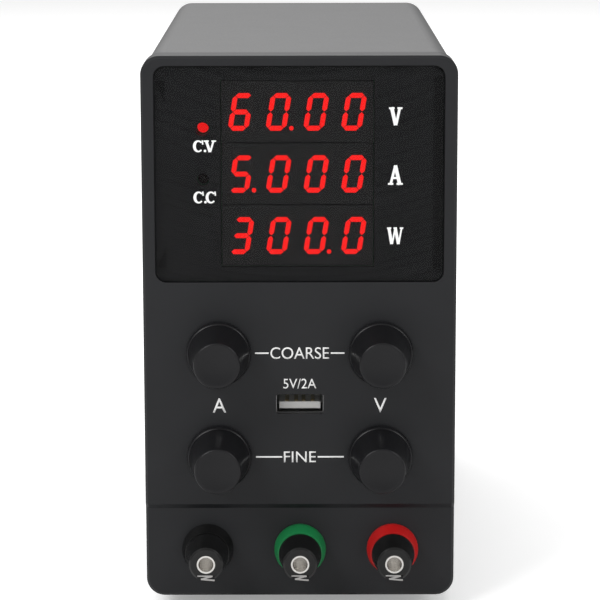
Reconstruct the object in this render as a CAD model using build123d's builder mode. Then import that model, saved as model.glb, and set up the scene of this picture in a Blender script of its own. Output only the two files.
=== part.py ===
from build123d import *
import math
import os

# A narrow bench power supply: moulded front bezel, folded steel case, switching supply inside.
# Millimetres. X runs to the right, Y to the back and Z up. The origin is the middle of the
# whole object's footprint, on the bench.

# Case
WIDTH = 84.0
HEIGHT = 148.0
BODY_DEPTH = 199.0
FOOT_HEIGHT = 4.0
SHEET = 1.0
COVER_INSET = 0.3
COVER_CORNER = 5.5
TRAY_CORNER = 4.0
TRAY_FLANGE = 16.0
COVER_LIFT = 4.8
PANEL_INSET = 1.5
PANEL_FLANGE = 10.0

# Clearances
SEAT_GAP = 0.1
RUN_GAP = 0.05
MOVE_GAP = 0.4
SLIDE_GAP = 0.2
GRIP_GAP = 0.02

# Front bezel
BEZEL_DEPTH = 11.0
BEZEL_CORNER = 5.0
BEZEL_WALL = 2.2
FACE_WALL = 3.0
FACE_EDGE = 0.7
STEP_HEIGHT = 26.2
STEP_DEPTH = 1.2
STEP_SLOPE = 1.4
TONGUE_LENGTH = 5.0
TONGUE_WALL = 1.4
TONGUE_ROOT = 3.0
TONGUE_BOTTOM = 20.0
BOSS_BLOCK = 7.0
BOSS_BLOCK_HEIGHT = 7.0

# Display window and the boards behind it
WINDOW_INSET = 3.5
WINDOW_SHARE = 0.3905
WINDOW_LEVEL = 0.7865
WINDOW_CORNER = 3.0
WINDOW_THICKNESS = 1.5
WINDOW_LIP = 0.3
MODULE_MARGIN = 0.1
MODULE_SHARE = 0.2872
MODULE_DEPTH = 8.0
MODULE_SHIFT = -0.5
BOARD_THICKNESS = 1.6
CORNER = 1.5
STAKE_CLEARANCE = 8.9
STAKE_INSET = 5.9
STAKE_MARGIN = 3.5
STAKE_BOSS = 5.0
STAKE_PIN = 2.0
STAKE_HEAD = 0.8
DIGITS = 4
DIGIT_PITCH = 10.0
DIGIT_HEIGHT = 10.0
DIGIT_WIDTH = 5.5
DIGIT_SLANT = 9.5
SEGMENT_WIDTH = 1.3
SEGMENT_THICKNESS = 0.2
SEGMENT_GAP = 0.25
POINT_SIZE = 1.2
POINT_SHIFT = 3.4
LED_SIZE = 3.0
LED_LENGTH = 5.0
LED_NOSE = 0.8
LED_X = -25.7
LED_RISE = 12.1
LED_SPACING = 13.7

# Controls
KNOB_INSET = 20.2
COARSE_LEVEL = 0.4601
FINE_LEVEL = 0.2669
KNOB_GAP = 0.6
KNOB_HEIGHT = 16.3
KNOB_BASE = 17.4
KNOB_FACE = 12.4
KNOB_SKIRT = 1.2
KNOB_WAIST = 16.0
KNOB_WAIST_HEIGHT = 2.0
KNOB_EDGE = 0.4
KNOB_DISH = 0.5
KNOB_HOLLOW = 13.6
KNOB_HOLLOW_DEPTH = 3.0
SHAFT_SIZE = 6.0
SHAFT_FLAT = 1.5
SHAFT_REACH = 14.0
BUSHING_SIZE = 7.0
BUSHING_REACH = 5.0
POT_NUT_ACROSS = 10.0
POT_NUT_THICKNESS = 2.0
POT_SIZE = 16.0
POT_DEPTH = 8.0
POT_BACK_WALL = 1.4
CONTROL_BOARD_INSET = 5.0
CONTROL_BOARD_MARGIN = 2.5
KNOB_TURN = 150.0

# Charging socket
USB_LEVEL = 0.3649
USB_WIDTH_INSIDE = 12.5
USB_HEIGHT_INSIDE = 5.12
USB_SHEET = 0.3
USB_CORNER = 0.5
USB_LENGTH = 14.0
USB_MOUTH_GROW = 0.3
USB_POCKET = 1.1
TONGUE_PLATE_WIDTH = 11.1
TONGUE_PLATE_THICKNESS = 1.84
TONGUE_PLATE_DROP = 0.9
TONGUE_PLATE_SETBACK = 1.3
USB_BLOCK = 3.0
CONTACT_PLACES = (-3.5, -1.0, 1.0, 3.5)
CONTACT_WIDTH = 1.0
CONTACT_THICKNESS = 0.25

# Binding posts
POST_INSET = 16.8
POST_LEVEL = 0.0899
POST_FLANGE = 14.0
POST_CONE = 12.0
POST_CONE_LENGTH = 4.0
POST_NECK = 8.0
STUD_SIZE = 4.9
SOCKET_SIZE = 4.0
SOCKET_DEPTH = 12.0
STUD_TAIL = 14.0
CAP_BACK = 11.6
CAP_FRONT = 9.2
CAP_TIP = 14.4
CAP_EDGE = 0.5
CAP_NOTCH = 4.6
CAP_NOTCH_DEPTH = 3.0
WASHER_SIZE = 9.0
WASHER_THICKNESS = 0.7
POST_NUT_ACROSS = 8.0
POST_NUT_THICKNESS = 3.0
LUG_SIZE = 8.0
LUG_THICKNESS = 0.8
LUG_LENGTH = 16.0
THREAD_PITCH = 0.8
CAP_TURNS = 4.0

# Screws, all alike
SCREW_SIZE = 3.0
SCREW_HOLE = 3.2
SCREW_LENGTH = 6.0
SCREW_HEAD = 5.5
SCREW_HEAD_HEIGHT = 2.0
SCREW_SIDES = 8
ROUND_SIDES = 16
SIDE_SCREW_HEIGHT = 12.3
SIDE_SCREW_SETBACK = 40.0
REAR_SCREW_LOW = 40.0
REAR_SCREW_DROP = 30.0
REAR_SCREW_SETBACK = 7.0
BOTTOM_SCREW_INSET = 16.0
BOTTOM_SCREW_SETBACK = 6.5

# Feet
FOOT_SIZE = 13.0
FOOT_TAPER = 1.0
FOOT_RECESS = 6.6
FOOT_RECESS_DEPTH = 2.6
FOOT_INSET = 12.0
FOOT_SETBACK = 30.0

# Vent slots
SLOT_LENGTH = 24.0
SLOT_WIDTH = 3.0
SLOT_PITCH = 7.5
SLOTS_IN_ROW = 9
SLOT_ROWS = (42.0, 96.0)
SLOT_MIDDLE = 118.0
FLOOR_SLOTS = 7

# Main board and what stands on it
MAIN_BOARD_CLEARANCE = 4.6
MAIN_BOARD_LENGTH = 148.0
MAIN_BOARD_SETBACK = 22.0
STANDOFF_HEIGHT = 6.0
STANDOFF_SIZE = 6.0
STANDOFF_INSET = 4.0
CORE_WIDTH = 30.0
CORE_DEPTH = 14.0
CORE_HEIGHT = 34.0
WINDING_WIDTH = 21.0
WINDING_DEPTH = 28.0
WINDING_HEIGHT = 22.0
WINDING_CORNER = 5.0
TRANSFORMER_SETBACK = 86.0
SINK_LENGTH = 50.0
SINK_HEIGHT = 62.0
SINK_BASE = 3.0
SINK_FIN = 1.6
SINK_INNER = 20.5
SINK_FINS = 7
SINK_CLEARANCE = 6.1
PRIMARY_SINK_SETBACK = 93.0
OUTPUT_SINK_SETBACK = 58.0
DEVICE_WIDTH = 15.6
DEVICE_HEIGHT = 20.0
DEVICE_THICKNESS = 4.8
DEVICE_LIFT = 10.0
DEVICE_SPACING = 24.0
LEAD_WIDTH = 1.2
LEAD_THICKNESS = 0.6
LEAD_PITCH = 5.4
BULK_SIZE = 24.0
BULK_HEIGHT = 40.0
BULK_X = 13.5
BULK_SETBACK = 131.0
OUTPUT_CAP_SIZE = 13.0
OUTPUT_CAP_HEIGHT = 26.0
OUTPUT_CAP_SPACING = 16.0
OUTPUT_CAP_SETBACK = 36.5
RING_OUTSIDE = 24.0
RING_INSIDE = 10.0
RING_THICKNESS = 12.0
LINE_CHOKE_SETBACK = 156.0
OUTPUT_CHOKE_SETBACK = 55.5
CHOKE_EDGE = 2.5
CHOKE_TURNS = 18

# Fan
FAN_SIZE = 60.0
FAN_DEPTH = 15.0
FAN_CORNER = 4.0
FAN_HOLE_SPACING = 50.0
FAN_HOLE = 4.3
FAN_BORE = 57.0
FAN_DROP = 36.0
FAN_ARM = 4.0
FAN_ARM_THICKNESS = 2.5
FAN_HUB = 25.0
FAN_HUB_LENGTH = 10.5
FAN_HUB_WALL = 1.5
FAN_SHAFT = 3.0
FAN_BEARING = 7.0
FAN_TIP_GAP = 1.0
FAN_BLADES = 7
BLADE_CHORD = 11.5
BLADE_TIP_CHORD = 12.0
BLADE_THICKNESS = 1.2
BLADE_ANGLE = 38.0
GUARD_WIRE = 1.6
GUARD_RINGS = (29.0, 20.0, 11.0)
GUARD_EAR = 8.0
FAN_SCREW_SIZE = 3.6
FAN_SCREW_HEAD = 7.0
FAN_SCREW_HEAD_HEIGHT = 2.2
FAN_SCREW_LENGTH = 13.0

# Mains inlet with its fuse drawer
INLET_INSET = 22.0
INLET_MIDDLE = 37.0
INLET_WIDTH = 31.0
INLET_HEIGHT = 36.0
INLET_FLANGE = 3.0
INLET_CORNER = 3.0
INLET_BODY_WIDTH = 27.0
INLET_BODY_HEIGHT = 32.0
INLET_BODY_DEPTH = 18.0
CAVITY_WIDTH = 24.4
CAVITY_HEIGHT = 16.4
CAVITY_DEPTH = 16.5
CAVITY_CHAMFER = 4.5
CAVITY_DROP = 6.0
PIN_WIDTH = 2.0
PIN_HEIGHT = 4.0
PIN_SPACING = 14.0
PIN_RISE = 4.0
PIN_SETBACK = 1.5
PIN_TAIL = 8.0
DRAWER_WIDTH = 22.0
DRAWER_HEIGHT = 7.2
DRAWER_DEPTH = 16.0
DRAWER_RISE = 10.2
DRAWER_PLATE_WIDTH = 24.0
DRAWER_PLATE_HEIGHT = 9.0
DRAWER_PLATE = 1.2
DRAWER_GRIP = 1.3
DRAWER_GRIP_HEIGHT = 2.4
DRAWER_TRAVEL = 12.0
FUSE_SIZE = 5.0
FUSE_LENGTH = 20.0
FUSE_CAP = 5.0
FUSE_SETBACK = 3.6

# Mains rocker switch
SWITCH_INSET = 22.0
SWITCH_MIDDLE = 47.0
SWITCH_WIDTH = 15.0
SWITCH_HEIGHT = 21.0
SWITCH_FLANGE = 2.0
SWITCH_BODY_WIDTH = 13.0
SWITCH_BODY_HEIGHT = 19.0
SWITCH_BODY_DEPTH = 12.0
ROCKER_WIDTH = 10.2
ROCKER_RADIUS = 8.0
ROCKER_RISE_ANGLE = 32.0
ROCKER_DIP = 3.4
ROCKER_KEEL = 3.6
ROCKER_PIVOT_DEPTH = 1.5
ROCKER_PIN = 2.0
ROCKER_PIN_LENGTH = 0.7
ROCKER_TILT = 12.0

# Voltage selector
SELECTOR_INSET = 20.0
SELECTOR_MIDDLE = 24.0
SELECTOR_WIDTH = 24.0
SELECTOR_HEIGHT = 13.0
SELECTOR_FLANGE = 1.5
SELECTOR_BODY_WIDTH = 22.0
SELECTOR_BODY_HEIGHT = 10.0
SELECTOR_BODY_DEPTH = 8.0
SLIDER_WIDTH = 8.5
SLIDER_HEIGHT = 5.2
SLIDER_FOOT_WIDTH = 11.0
SLIDER_FOOT_HEIGHT = 7.2
SLIDER_FOOT = 1.5
SLIDER_SINK = 0.6
SLIDER_GROOVE = 1.2
SELECTOR_TRAVEL = 4.0
SELECTOR_LIP = 1.2

# Places worked out from the sizes above
KNOB_REACH = KNOB_GAP + KNOB_HEIGHT
REAR_REACH = INLET_FLANGE + DRAWER_PLATE + DRAWER_GRIP - PANEL_INSET
FRONT = -(BODY_DEPTH + REAR_REACH - KNOB_REACH) / 2
REAR = FRONT + BODY_DEPTH
BASE = FOOT_HEIGHT
MIDDLE_Z = BASE + HEIGHT / 2
FACE_BACK = FRONT + FACE_WALL
BEZEL_BACK = FRONT + BEZEL_DEPTH
LOWER_FACE = FRONT + STEP_DEPTH
PANEL_OUT = REAR - PANEL_INSET
PANEL_IN = PANEL_OUT - SHEET
COVER_FRONT = BEZEL_BACK + SEAT_GAP
COVER_WIDTH = WIDTH - 2 * COVER_INSET
COVER_TOP = BASE + HEIGHT - COVER_INSET
TRAY_WIDTH = COVER_WIDTH - 2 * SHEET - 2 * SEAT_GAP
TRAY_BOTTOM = BASE + COVER_INSET
TRAY_FLOOR = TRAY_BOTTOM + SHEET
TRAY_BACK = PANEL_IN - SEAT_GAP
FLANGE_FACE = COVER_WIDTH / 2 - SHEET - SEAT_GAP
INNER_TOP = COVER_TOP - SHEET - SEAT_GAP
WINDOW_FRONT = FRONT + SEAT_GAP
WINDOW_BACK = WINDOW_FRONT + WINDOW_THICKNESS
MODULE_FRONT = WINDOW_BACK + SLIDE_GAP + SEGMENT_THICKNESS
MODULE_BACK = MODULE_FRONT + MODULE_DEPTH
WINDOW_WIDTH = WIDTH - 2 * WINDOW_INSET
WINDOW_HEIGHT = WINDOW_SHARE * HEIGHT
WINDOW_Z = BASE + WINDOW_LEVEL * HEIGHT
MODULE_WIDTH = DIGITS * DIGIT_PITCH + 2 * MODULE_MARGIN
MODULE_PITCH = MODULE_SHARE * WINDOW_HEIGHT
MODULE_HEIGHT = MODULE_PITCH - MOVE_GAP
STAKE_SPACING_X = MODULE_WIDTH + 2 * STAKE_CLEARANCE
STAKE_SPACING_Z = WINDOW_HEIGHT - 2 * STAKE_INSET
DISPLAY_BOARD_WIDTH = STAKE_SPACING_X + 2 * STAKE_MARGIN
DISPLAY_BOARD_HEIGHT = STAKE_SPACING_Z + 2 * STAKE_MARGIN
LED_PLACES = [(LED_X, WINDOW_Z + LED_RISE), (LED_X, WINDOW_Z + LED_RISE - LED_SPACING)]
KNOB_X = WIDTH / 2 - KNOB_INSET
COARSE_Z = BASE + COARSE_LEVEL * HEIGHT
FINE_Z = BASE + FINE_LEVEL * HEIGHT
CONTROL_BOARD_WIDTH = WIDTH - 2 * CONTROL_BOARD_INSET
POT_BACK = FACE_BACK + POT_DEPTH
USB_Z = BASE + USB_LEVEL * HEIGHT
USB_FRONT = FACE_BACK - USB_POCKET
POST_SPACING = WIDTH / 2 - POST_INSET
POST_Z = BASE + POST_LEVEL * HEIGHT
CONE_FRONT = FRONT - POST_CONE_LENGTH
WASHER_BACK = CONE_FRONT - RUN_GAP
WASHER_FRONT = WASHER_BACK - WASHER_THICKNESS
CAP_BACK_Y = WASHER_FRONT - RUN_GAP
CAP_FRONT_Y = FRONT - CAP_TIP
BOARD_BOTTOM = TRAY_FLOOR + STANDOFF_HEIGHT
BOARD_TOP = BOARD_BOTTOM + BOARD_THICKNESS
MAIN_BOARD_WIDTH = 2 * (FLANGE_FACE - MAIN_BOARD_CLEARANCE)
SINK_OUTER = FLANGE_FACE - SINK_CLEARANCE
SINK_FIN_REACH = SINK_OUTER - SINK_INNER - SINK_BASE
BOARD_FRONT = FRONT + MAIN_BOARD_SETBACK
BOARD_BACK = BOARD_FRONT + MAIN_BOARD_LENGTH
FAN_Z = BASE + HEIGHT - FAN_DROP
FAN_BACK = PANEL_IN - SEAT_GAP
FAN_FRONT = FAN_BACK - FAN_DEPTH
INLET_X = INLET_INSET - WIDTH / 2
INLET_Z = BASE + INLET_MIDDLE
INLET_FACE = PANEL_OUT + INLET_FLANGE
CAVITY_Z = INLET_Z - CAVITY_DROP
DRAWER_Z = INLET_Z + DRAWER_RISE
SWITCH_X = WIDTH / 2 - SWITCH_INSET
SWITCH_Z = BASE + SWITCH_MIDDLE
SWITCH_FACE = PANEL_OUT + SWITCH_FLANGE
ROCKER_Y = PANEL_OUT - ROCKER_PIVOT_DEPTH
SELECTOR_X = WIDTH / 2 - SELECTOR_INSET
SELECTOR_Z = BASE + SELECTOR_MIDDLE
SELECTOR_FACE = PANEL_OUT + SELECTOR_FLANGE
BOTTOM_SCREW_X = WIDTH / 2 - BOTTOM_SCREW_INSET
BOTTOM_SCREW_FRONT = BEZEL_BACK + BOTTOM_SCREW_SETBACK
BOTTOM_SCREW_BACK = TRAY_BACK - BOTTOM_SCREW_SETBACK
FOOT_X = WIDTH / 2 - FOOT_INSET
FOOT_FRONT = FRONT + FOOT_SETBACK
FOOT_BACK = REAR - FOOT_SETBACK
POST_COLOURS = {"black": -POST_SPACING, "green": 0.0, "red": POST_SPACING}
KNOBS = {
    "current_coarse": (-KNOB_X, COARSE_Z),
    "voltage_coarse": (KNOB_X, COARSE_Z),
    "current_fine": (-KNOB_X, FINE_Z),
    "voltage_fine": (KNOB_X, FINE_Z),
}

os.makedirs("parts", exist_ok=True)


def save(piece, name):
    """Labels a finished piece and writes it to its own file."""
    piece.label = name
    export_step(piece, f"parts/{name}.step")


def facing(y):
    """Plane across the case at depth y, as the user sees it: x to the right, y up, facing forward."""
    return Plane(origin=(0, y, 0), x_dir=(1, 0, 0), z_dir=(0, -1, 0))


def turning(x, z):
    """Plane through an axis that runs front to back: x is the radius and y the depth."""
    return Plane(origin=(x, 0, z), x_dir=(1, 0, 0), z_dir=(0, 0, 1))


def axis_along(x, z):
    """Axis that runs front to back."""
    return Axis((x, 0, z), (0, 1, 0))


def side_on(x):
    """Plane seen from the right side: x to the back, y up."""
    return Plane(origin=(x, 0, 0), x_dir=(0, 1, 0), z_dir=(1, 0, 0))


def many_sided(size, mode=Mode.ADD):
    """Round hole with flat sides that clears a round piece of the given size."""
    return RegularPolygon(size / 2, ROUND_SIDES, major_radius=False, mode=mode)


def screw_hole(mode=Mode.ADD):
    """Hole that clears the shank of a case screw."""
    return RegularPolygon(SCREW_HOLE / 2, SCREW_SIDES, major_radius=False, mode=mode)


# Front bezel: one moulding with the window recess, a set-back lower band and a tongue that the cover wraps
with BuildPart() as front_bezel:
    with BuildSketch(facing(BEZEL_BACK)):
        with Locations((0, MIDDLE_Z)):
            RectangleRounded(WIDTH, HEIGHT, BEZEL_CORNER)
    extrude(amount=BEZEL_DEPTH)
    with BuildSketch(side_on(0)):
        with BuildLine():
            Polyline(
                (FRONT - 1, BASE - 1),
                (LOWER_FACE, BASE - 1),
                (LOWER_FACE, BASE + STEP_HEIGHT - STEP_SLOPE),
                (FRONT, BASE + STEP_HEIGHT),
                (FRONT - 1, BASE + STEP_HEIGHT),
                close=True,
            )
        make_face()
    extrude(amount=WIDTH, both=True, mode=Mode.SUBTRACT)
    front_edges = front_bezel.edges().filter_by_position(Axis.Y, FRONT - 1, LOWER_FACE + 0.01)
    rim_edges = front_edges.filter_by(
        lambda e: abs(e.center().X) > WIDTH / 2 - BEZEL_CORNER
        or abs(e.center().Z - MIDDLE_Z) > HEIGHT / 2 - BEZEL_CORNER
    )
    chamfer(rim_edges, FACE_EDGE)
    with BuildSketch(facing(BEZEL_BACK)):
        with Locations((0, MIDDLE_Z)):
            RectangleRounded(
                WIDTH - 2 * BEZEL_WALL, HEIGHT - 2 * BEZEL_WALL, BEZEL_CORNER - BEZEL_WALL
            )
    extrude(amount=BEZEL_DEPTH - FACE_WALL, mode=Mode.SUBTRACT)

    # Tongue under the cover, open at the bottom where the tray comes in
    with BuildSketch(facing(BEZEL_BACK + TONGUE_LENGTH)):
        with Locations((0, MIDDLE_Z)):
            RectangleRounded(
                TRAY_WIDTH,
                HEIGHT - 2 * (COVER_INSET + SHEET + SEAT_GAP),
                COVER_CORNER - SHEET - SEAT_GAP,
            )
            RectangleRounded(
                TRAY_WIDTH - 2 * TONGUE_WALL,
                HEIGHT - 2 * (COVER_INSET + SHEET + SEAT_GAP + TONGUE_WALL),
                COVER_CORNER - SHEET - SEAT_GAP - TONGUE_WALL,
                mode=Mode.SUBTRACT,
            )
        with Locations((0, BASE)):
            Rectangle(WIDTH, 2 * TONGUE_BOTTOM, mode=Mode.SUBTRACT)
    extrude(amount=TONGUE_LENGTH + TONGUE_ROOT)

    # Two screw blocks on the bottom, over the tray's front edge
    with BuildSketch(facing(BOTTOM_SCREW_FRONT + BOSS_BLOCK / 2)):
        with Locations(
            (-BOTTOM_SCREW_X, TRAY_FLOOR + SEAT_GAP + BOSS_BLOCK_HEIGHT / 2),
            (BOTTOM_SCREW_X, TRAY_FLOOR + SEAT_GAP + BOSS_BLOCK_HEIGHT / 2),
        ):
            Rectangle(BOSS_BLOCK, BOSS_BLOCK_HEIGHT)
    extrude(amount=BOTTOM_SCREW_FRONT + BOSS_BLOCK / 2 - FACE_BACK)
    with BuildSketch(Plane.XY.offset(TRAY_FLOOR)):
        with Locations((-BOTTOM_SCREW_X, BOTTOM_SCREW_FRONT), (BOTTOM_SCREW_X, BOTTOM_SCREW_FRONT)):
            screw_hole()
    extrude(amount=SCREW_LENGTH, mode=Mode.SUBTRACT)

    # Recess for the window pane and the openings behind it
    with BuildSketch(facing(WINDOW_BACK)):
        with Locations((0, WINDOW_Z)):
            RectangleRounded(
                WINDOW_WIDTH + 2 * SEAT_GAP, WINDOW_HEIGHT + 2 * SEAT_GAP, WINDOW_CORNER
            )
    extrude(amount=WINDOW_THICKNESS + FACE_WALL, mode=Mode.SUBTRACT)
    with BuildSketch(facing(FACE_BACK)):
        with Locations((MODULE_SHIFT, WINDOW_Z)):
            Rectangle(
                MODULE_WIDTH + 2 * MOVE_GAP, MODULE_HEIGHT + 2 * MODULE_PITCH + 2 * MOVE_GAP
            )
        with Locations(*LED_PLACES):
            many_sided(LED_SIZE + 2 * SLIDE_GAP)
    extrude(amount=2 * FACE_WALL, mode=Mode.SUBTRACT)

    # Bosses and pins that hold the display board
    with BuildSketch(facing(MODULE_BACK)):
        with Locations((0, WINDOW_Z)):
            with GridLocations(STAKE_SPACING_X, STAKE_SPACING_Z, 2, 2):
                Rectangle(STAKE_BOSS, STAKE_BOSS)
    extrude(amount=MODULE_BACK - FACE_BACK)
    with BuildSketch(facing(MODULE_BACK + BOARD_THICKNESS + STAKE_HEAD)):
        with Locations((0, WINDOW_Z)):
            with GridLocations(STAKE_SPACING_X, STAKE_SPACING_Z, 2, 2):
                Rectangle(STAKE_PIN, STAKE_PIN)
    extrude(amount=BOARD_THICKNESS + STAKE_HEAD)

    # Holes for the control bushings, the charging socket and the binding posts
    with BuildSketch(facing(FACE_BACK)):
        with Locations(*KNOBS.values()):
            many_sided(BUSHING_SIZE + 2 * SEAT_GAP)
        with Locations((0, USB_Z)):
            RectangleRounded(
                USB_WIDTH_INSIDE + USB_MOUTH_GROW, USB_HEIGHT_INSIDE + USB_MOUTH_GROW, USB_CORNER
            )
        with Locations(*[(x, POST_Z) for x in POST_COLOURS.values()]):
            Circle(POST_NECK / 2 + SEAT_GAP)
    extrude(amount=2 * FACE_WALL, mode=Mode.SUBTRACT)
    with BuildSketch(facing(FACE_BACK)):
        with Locations((0, USB_Z)):
            RectangleRounded(
                USB_WIDTH_INSIDE + 2 * (USB_SHEET + SEAT_GAP),
                USB_HEIGHT_INSIDE + 2 * (USB_SHEET + SEAT_GAP),
                USB_CORNER + USB_SHEET,
            )
    extrude(amount=USB_POCKET, mode=Mode.SUBTRACT)
save(front_bezel.part, "front_bezel")

# Display window: a smoked pane with a softened front edge
with BuildPart() as display_window:
    with BuildSketch(facing(WINDOW_BACK)):
        with Locations((0, WINDOW_Z)):
            RectangleRounded(WINDOW_WIDTH, WINDOW_HEIGHT, WINDOW_CORNER - SEAT_GAP)
    extrude(amount=WINDOW_THICKNESS)
    chamfer(display_window.faces().sort_by(Axis.Y)[0].edges(), WINDOW_LIP)
save(display_window.part, "display_window")

# Three rows of number modules
MODULE_ROWS = [WINDOW_Z + row * MODULE_PITCH for row in (1, 0, -1)]
with BuildPart() as display_modules:
    with BuildSketch(facing(MODULE_BACK)):
        with Locations(*[(MODULE_SHIFT, z) for z in MODULE_ROWS]):
            Rectangle(MODULE_WIDTH, MODULE_HEIGHT)
    extrude(amount=MODULE_DEPTH)
save(display_modules.part, "display_modules")


def upright_segment(length):
    """Bar with pointed ends, standing upright about the current place."""
    half, side = length / 2, SEGMENT_WIDTH / 2
    return Polygon(
        (0, half), (side, half - side), (side, side - half),
        (0, -half), (-side, side - half), (-side, half - side),
    )


# Light bars of the numbers: seven to a digit and a point beside it, all leaning to the right
BAR_RISE = (DIGIT_HEIGHT - SEGMENT_WIDTH) / 2
BAR_SIDE = (DIGIT_WIDTH - SEGMENT_WIDTH) / 2
LEAN = math.tan(math.radians(DIGIT_SLANT))
DIGIT_PLACES = [MODULE_SHIFT + (i - (DIGITS - 1) / 2) * DIGIT_PITCH for i in range(DIGITS)]
UPRIGHTS = [(side * BAR_SIDE, up * BAR_RISE / 2) for side in (-1, 1) for up in (-1, 1)]
LEVELS = [up * BAR_RISE for up in (-1, 0, 1)]
with BuildPart() as segment_bars:
    with BuildSketch(facing(MODULE_FRONT)):
        for row_z in MODULE_ROWS:
            for digit_x in DIGIT_PLACES:
                for x, z in UPRIGHTS:
                    with Locations(Location((digit_x + x + z * LEAN, row_z + z), -DIGIT_SLANT)):
                        upright_segment(BAR_RISE - SEGMENT_GAP)
                for z in LEVELS:
                    with Locations(Location((digit_x + z * LEAN, row_z + z), 90)):
                        upright_segment(2 * BAR_SIDE - 2 * SEGMENT_GAP)
                with Locations((digit_x + POINT_SHIFT, row_z - BAR_RISE)):
                    RegularPolygon(POINT_SIZE / 2, 8)
    extrude(amount=SEGMENT_THICKNESS)
save(segment_bars.part, "segment_bars")

# Display board on the bezel's pins
with BuildPart() as display_board:
    with BuildSketch(facing(MODULE_BACK + BOARD_THICKNESS)):
        with Locations((0, WINDOW_Z)):
            Rectangle(DISPLAY_BOARD_WIDTH, DISPLAY_BOARD_HEIGHT)
            with GridLocations(STAKE_SPACING_X, STAKE_SPACING_Z, 2, 2):
                Rectangle(
                    STAKE_PIN + 2 * SEAT_GAP, STAKE_PIN + 2 * SEAT_GAP, mode=Mode.SUBTRACT
                )
    extrude(amount=BOARD_THICKNESS)
save(display_board.part, "display_board")

# Two small indicator lamps: constant voltage above, constant current below
with BuildPart() as mode_leds:
    with BuildSketch(facing(MODULE_BACK)):
        with Locations(*LED_PLACES):
            RegularPolygon(LED_SIZE / 2, ROUND_SIDES)
    extrude(amount=LED_LENGTH)
    chamfer(mode_leds.faces().group_by(Axis.Y)[0].edges(), LED_NOSE)
save(mode_leds.part, "mode_leds")

# Control board behind the four controls, cut out round the charging socket
CONTROL_LOW = FINE_Z - POT_SIZE / 2 - CONTROL_BOARD_MARGIN
CONTROL_HIGH = COARSE_Z + POT_SIZE / 2 + CONTROL_BOARD_MARGIN
with BuildPart() as control_board:
    with BuildSketch(facing(POT_BACK + BOARD_THICKNESS)):
        with Locations((0, (CONTROL_LOW + CONTROL_HIGH) / 2)):
            Rectangle(CONTROL_BOARD_WIDTH, CONTROL_HIGH - CONTROL_LOW)
        with Locations((0, USB_Z)):
            Rectangle(
                USB_WIDTH_INSIDE + 2 * (USB_SHEET + SEAT_GAP),
                USB_HEIGHT_INSIDE + 2 * (USB_SHEET + SEAT_GAP),
                mode=Mode.SUBTRACT,
            )
    extrude(amount=BOARD_THICKNESS)
save(control_board.part, "control_board")

# Rotary controls: square case and threaded bushing, bored for the shaft
BUSHING_FRONT = FRONT - BUSHING_REACH
with BuildPart() as pot_bodies:
    with BuildSketch(facing(POT_BACK)):
        with Locations(*KNOBS.values()):
            Rectangle(POT_SIZE, POT_SIZE)
    extrude(amount=POT_DEPTH)
    with BuildSketch(facing(FACE_BACK)):
        with Locations(*KNOBS.values()):
            RegularPolygon(BUSHING_SIZE / 2, ROUND_SIDES)
    extrude(amount=FACE_WALL + BUSHING_REACH)
    with BuildSketch(facing(POT_BACK - POT_BACK_WALL)):
        with Locations(*KNOBS.values()):
            many_sided(SHAFT_SIZE + 2 * RUN_GAP)
    extrude(amount=POT_BACK - POT_BACK_WALL - BUSHING_FRONT + 1, mode=Mode.SUBTRACT)
save(pot_bodies.part, "pot_bodies")

# Hexagon nuts that hold the controls to the bezel, hidden in the knobs
with BuildPart() as pot_nuts:
    with BuildSketch(facing(FRONT)):
        with Locations(*KNOBS.values()):
            RegularPolygon(POT_NUT_ACROSS / 2, 6, major_radius=False)
            many_sided(BUSHING_SIZE + 2 * RUN_GAP, Mode.SUBTRACT)
    extrude(amount=POT_NUT_THICKNESS)
save(pot_nuts.part, "pot_nuts")

KNOB_BACK_Y = FRONT - KNOB_GAP
KNOB_FRONT_Y = KNOB_BACK_Y - KNOB_HEIGHT
SHAFT_FRONT = FRONT - SHAFT_REACH
FLAT_START = BUSHING_FRONT - MOVE_GAP


def make_knob(name, x, z):
    """Smooth knob that flares to a thin skirt: hollow below for the nut, with a flat-sided bore."""
    with BuildPart() as knob:
        with BuildSketch(turning(x, z)):
            with BuildLine():
                Polyline(
                    (0, KNOB_BACK_Y),
                    (KNOB_BASE / 2, KNOB_BACK_Y),
                    (KNOB_BASE / 2, KNOB_BACK_Y - KNOB_SKIRT),
                    (KNOB_WAIST / 2, KNOB_BACK_Y - KNOB_WAIST_HEIGHT),
                    (KNOB_FACE / 2, KNOB_FRONT_Y + KNOB_EDGE),
                    (KNOB_FACE / 2 - KNOB_EDGE, KNOB_FRONT_Y),
                    (0, KNOB_FRONT_Y + KNOB_DISH),
                    close=True,
                )
            make_face()
        revolve(axis=axis_along(x, z))
        with BuildSketch(facing(KNOB_BACK_Y)):
            with Locations((x, z)):
                RegularPolygon(KNOB_HOLLOW / 2, ROUND_SIDES)
        extrude(amount=KNOB_HOLLOW_DEPTH, mode=Mode.SUBTRACT)
        with BuildSketch(facing(KNOB_BACK_Y)):
            with Locations((x, z)):
                many_sided(BUSHING_SIZE + 2 * MOVE_GAP)
        extrude(amount=KNOB_BACK_Y - FLAT_START, mode=Mode.SUBTRACT)
        with BuildSketch(facing(KNOB_BACK_Y)):
            with Locations((x, z)):
                Circle(SHAFT_SIZE / 2 + GRIP_GAP)
            with Locations((x, z + SHAFT_SIZE - SHAFT_FLAT + GRIP_GAP)):
                Rectangle(SHAFT_SIZE + 1, SHAFT_SIZE, mode=Mode.SUBTRACT)
        extrude(amount=KNOB_BACK_Y - SHAFT_FRONT + SEAT_GAP, mode=Mode.SUBTRACT)
    save(knob.part, f"knob_{name}")


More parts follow.
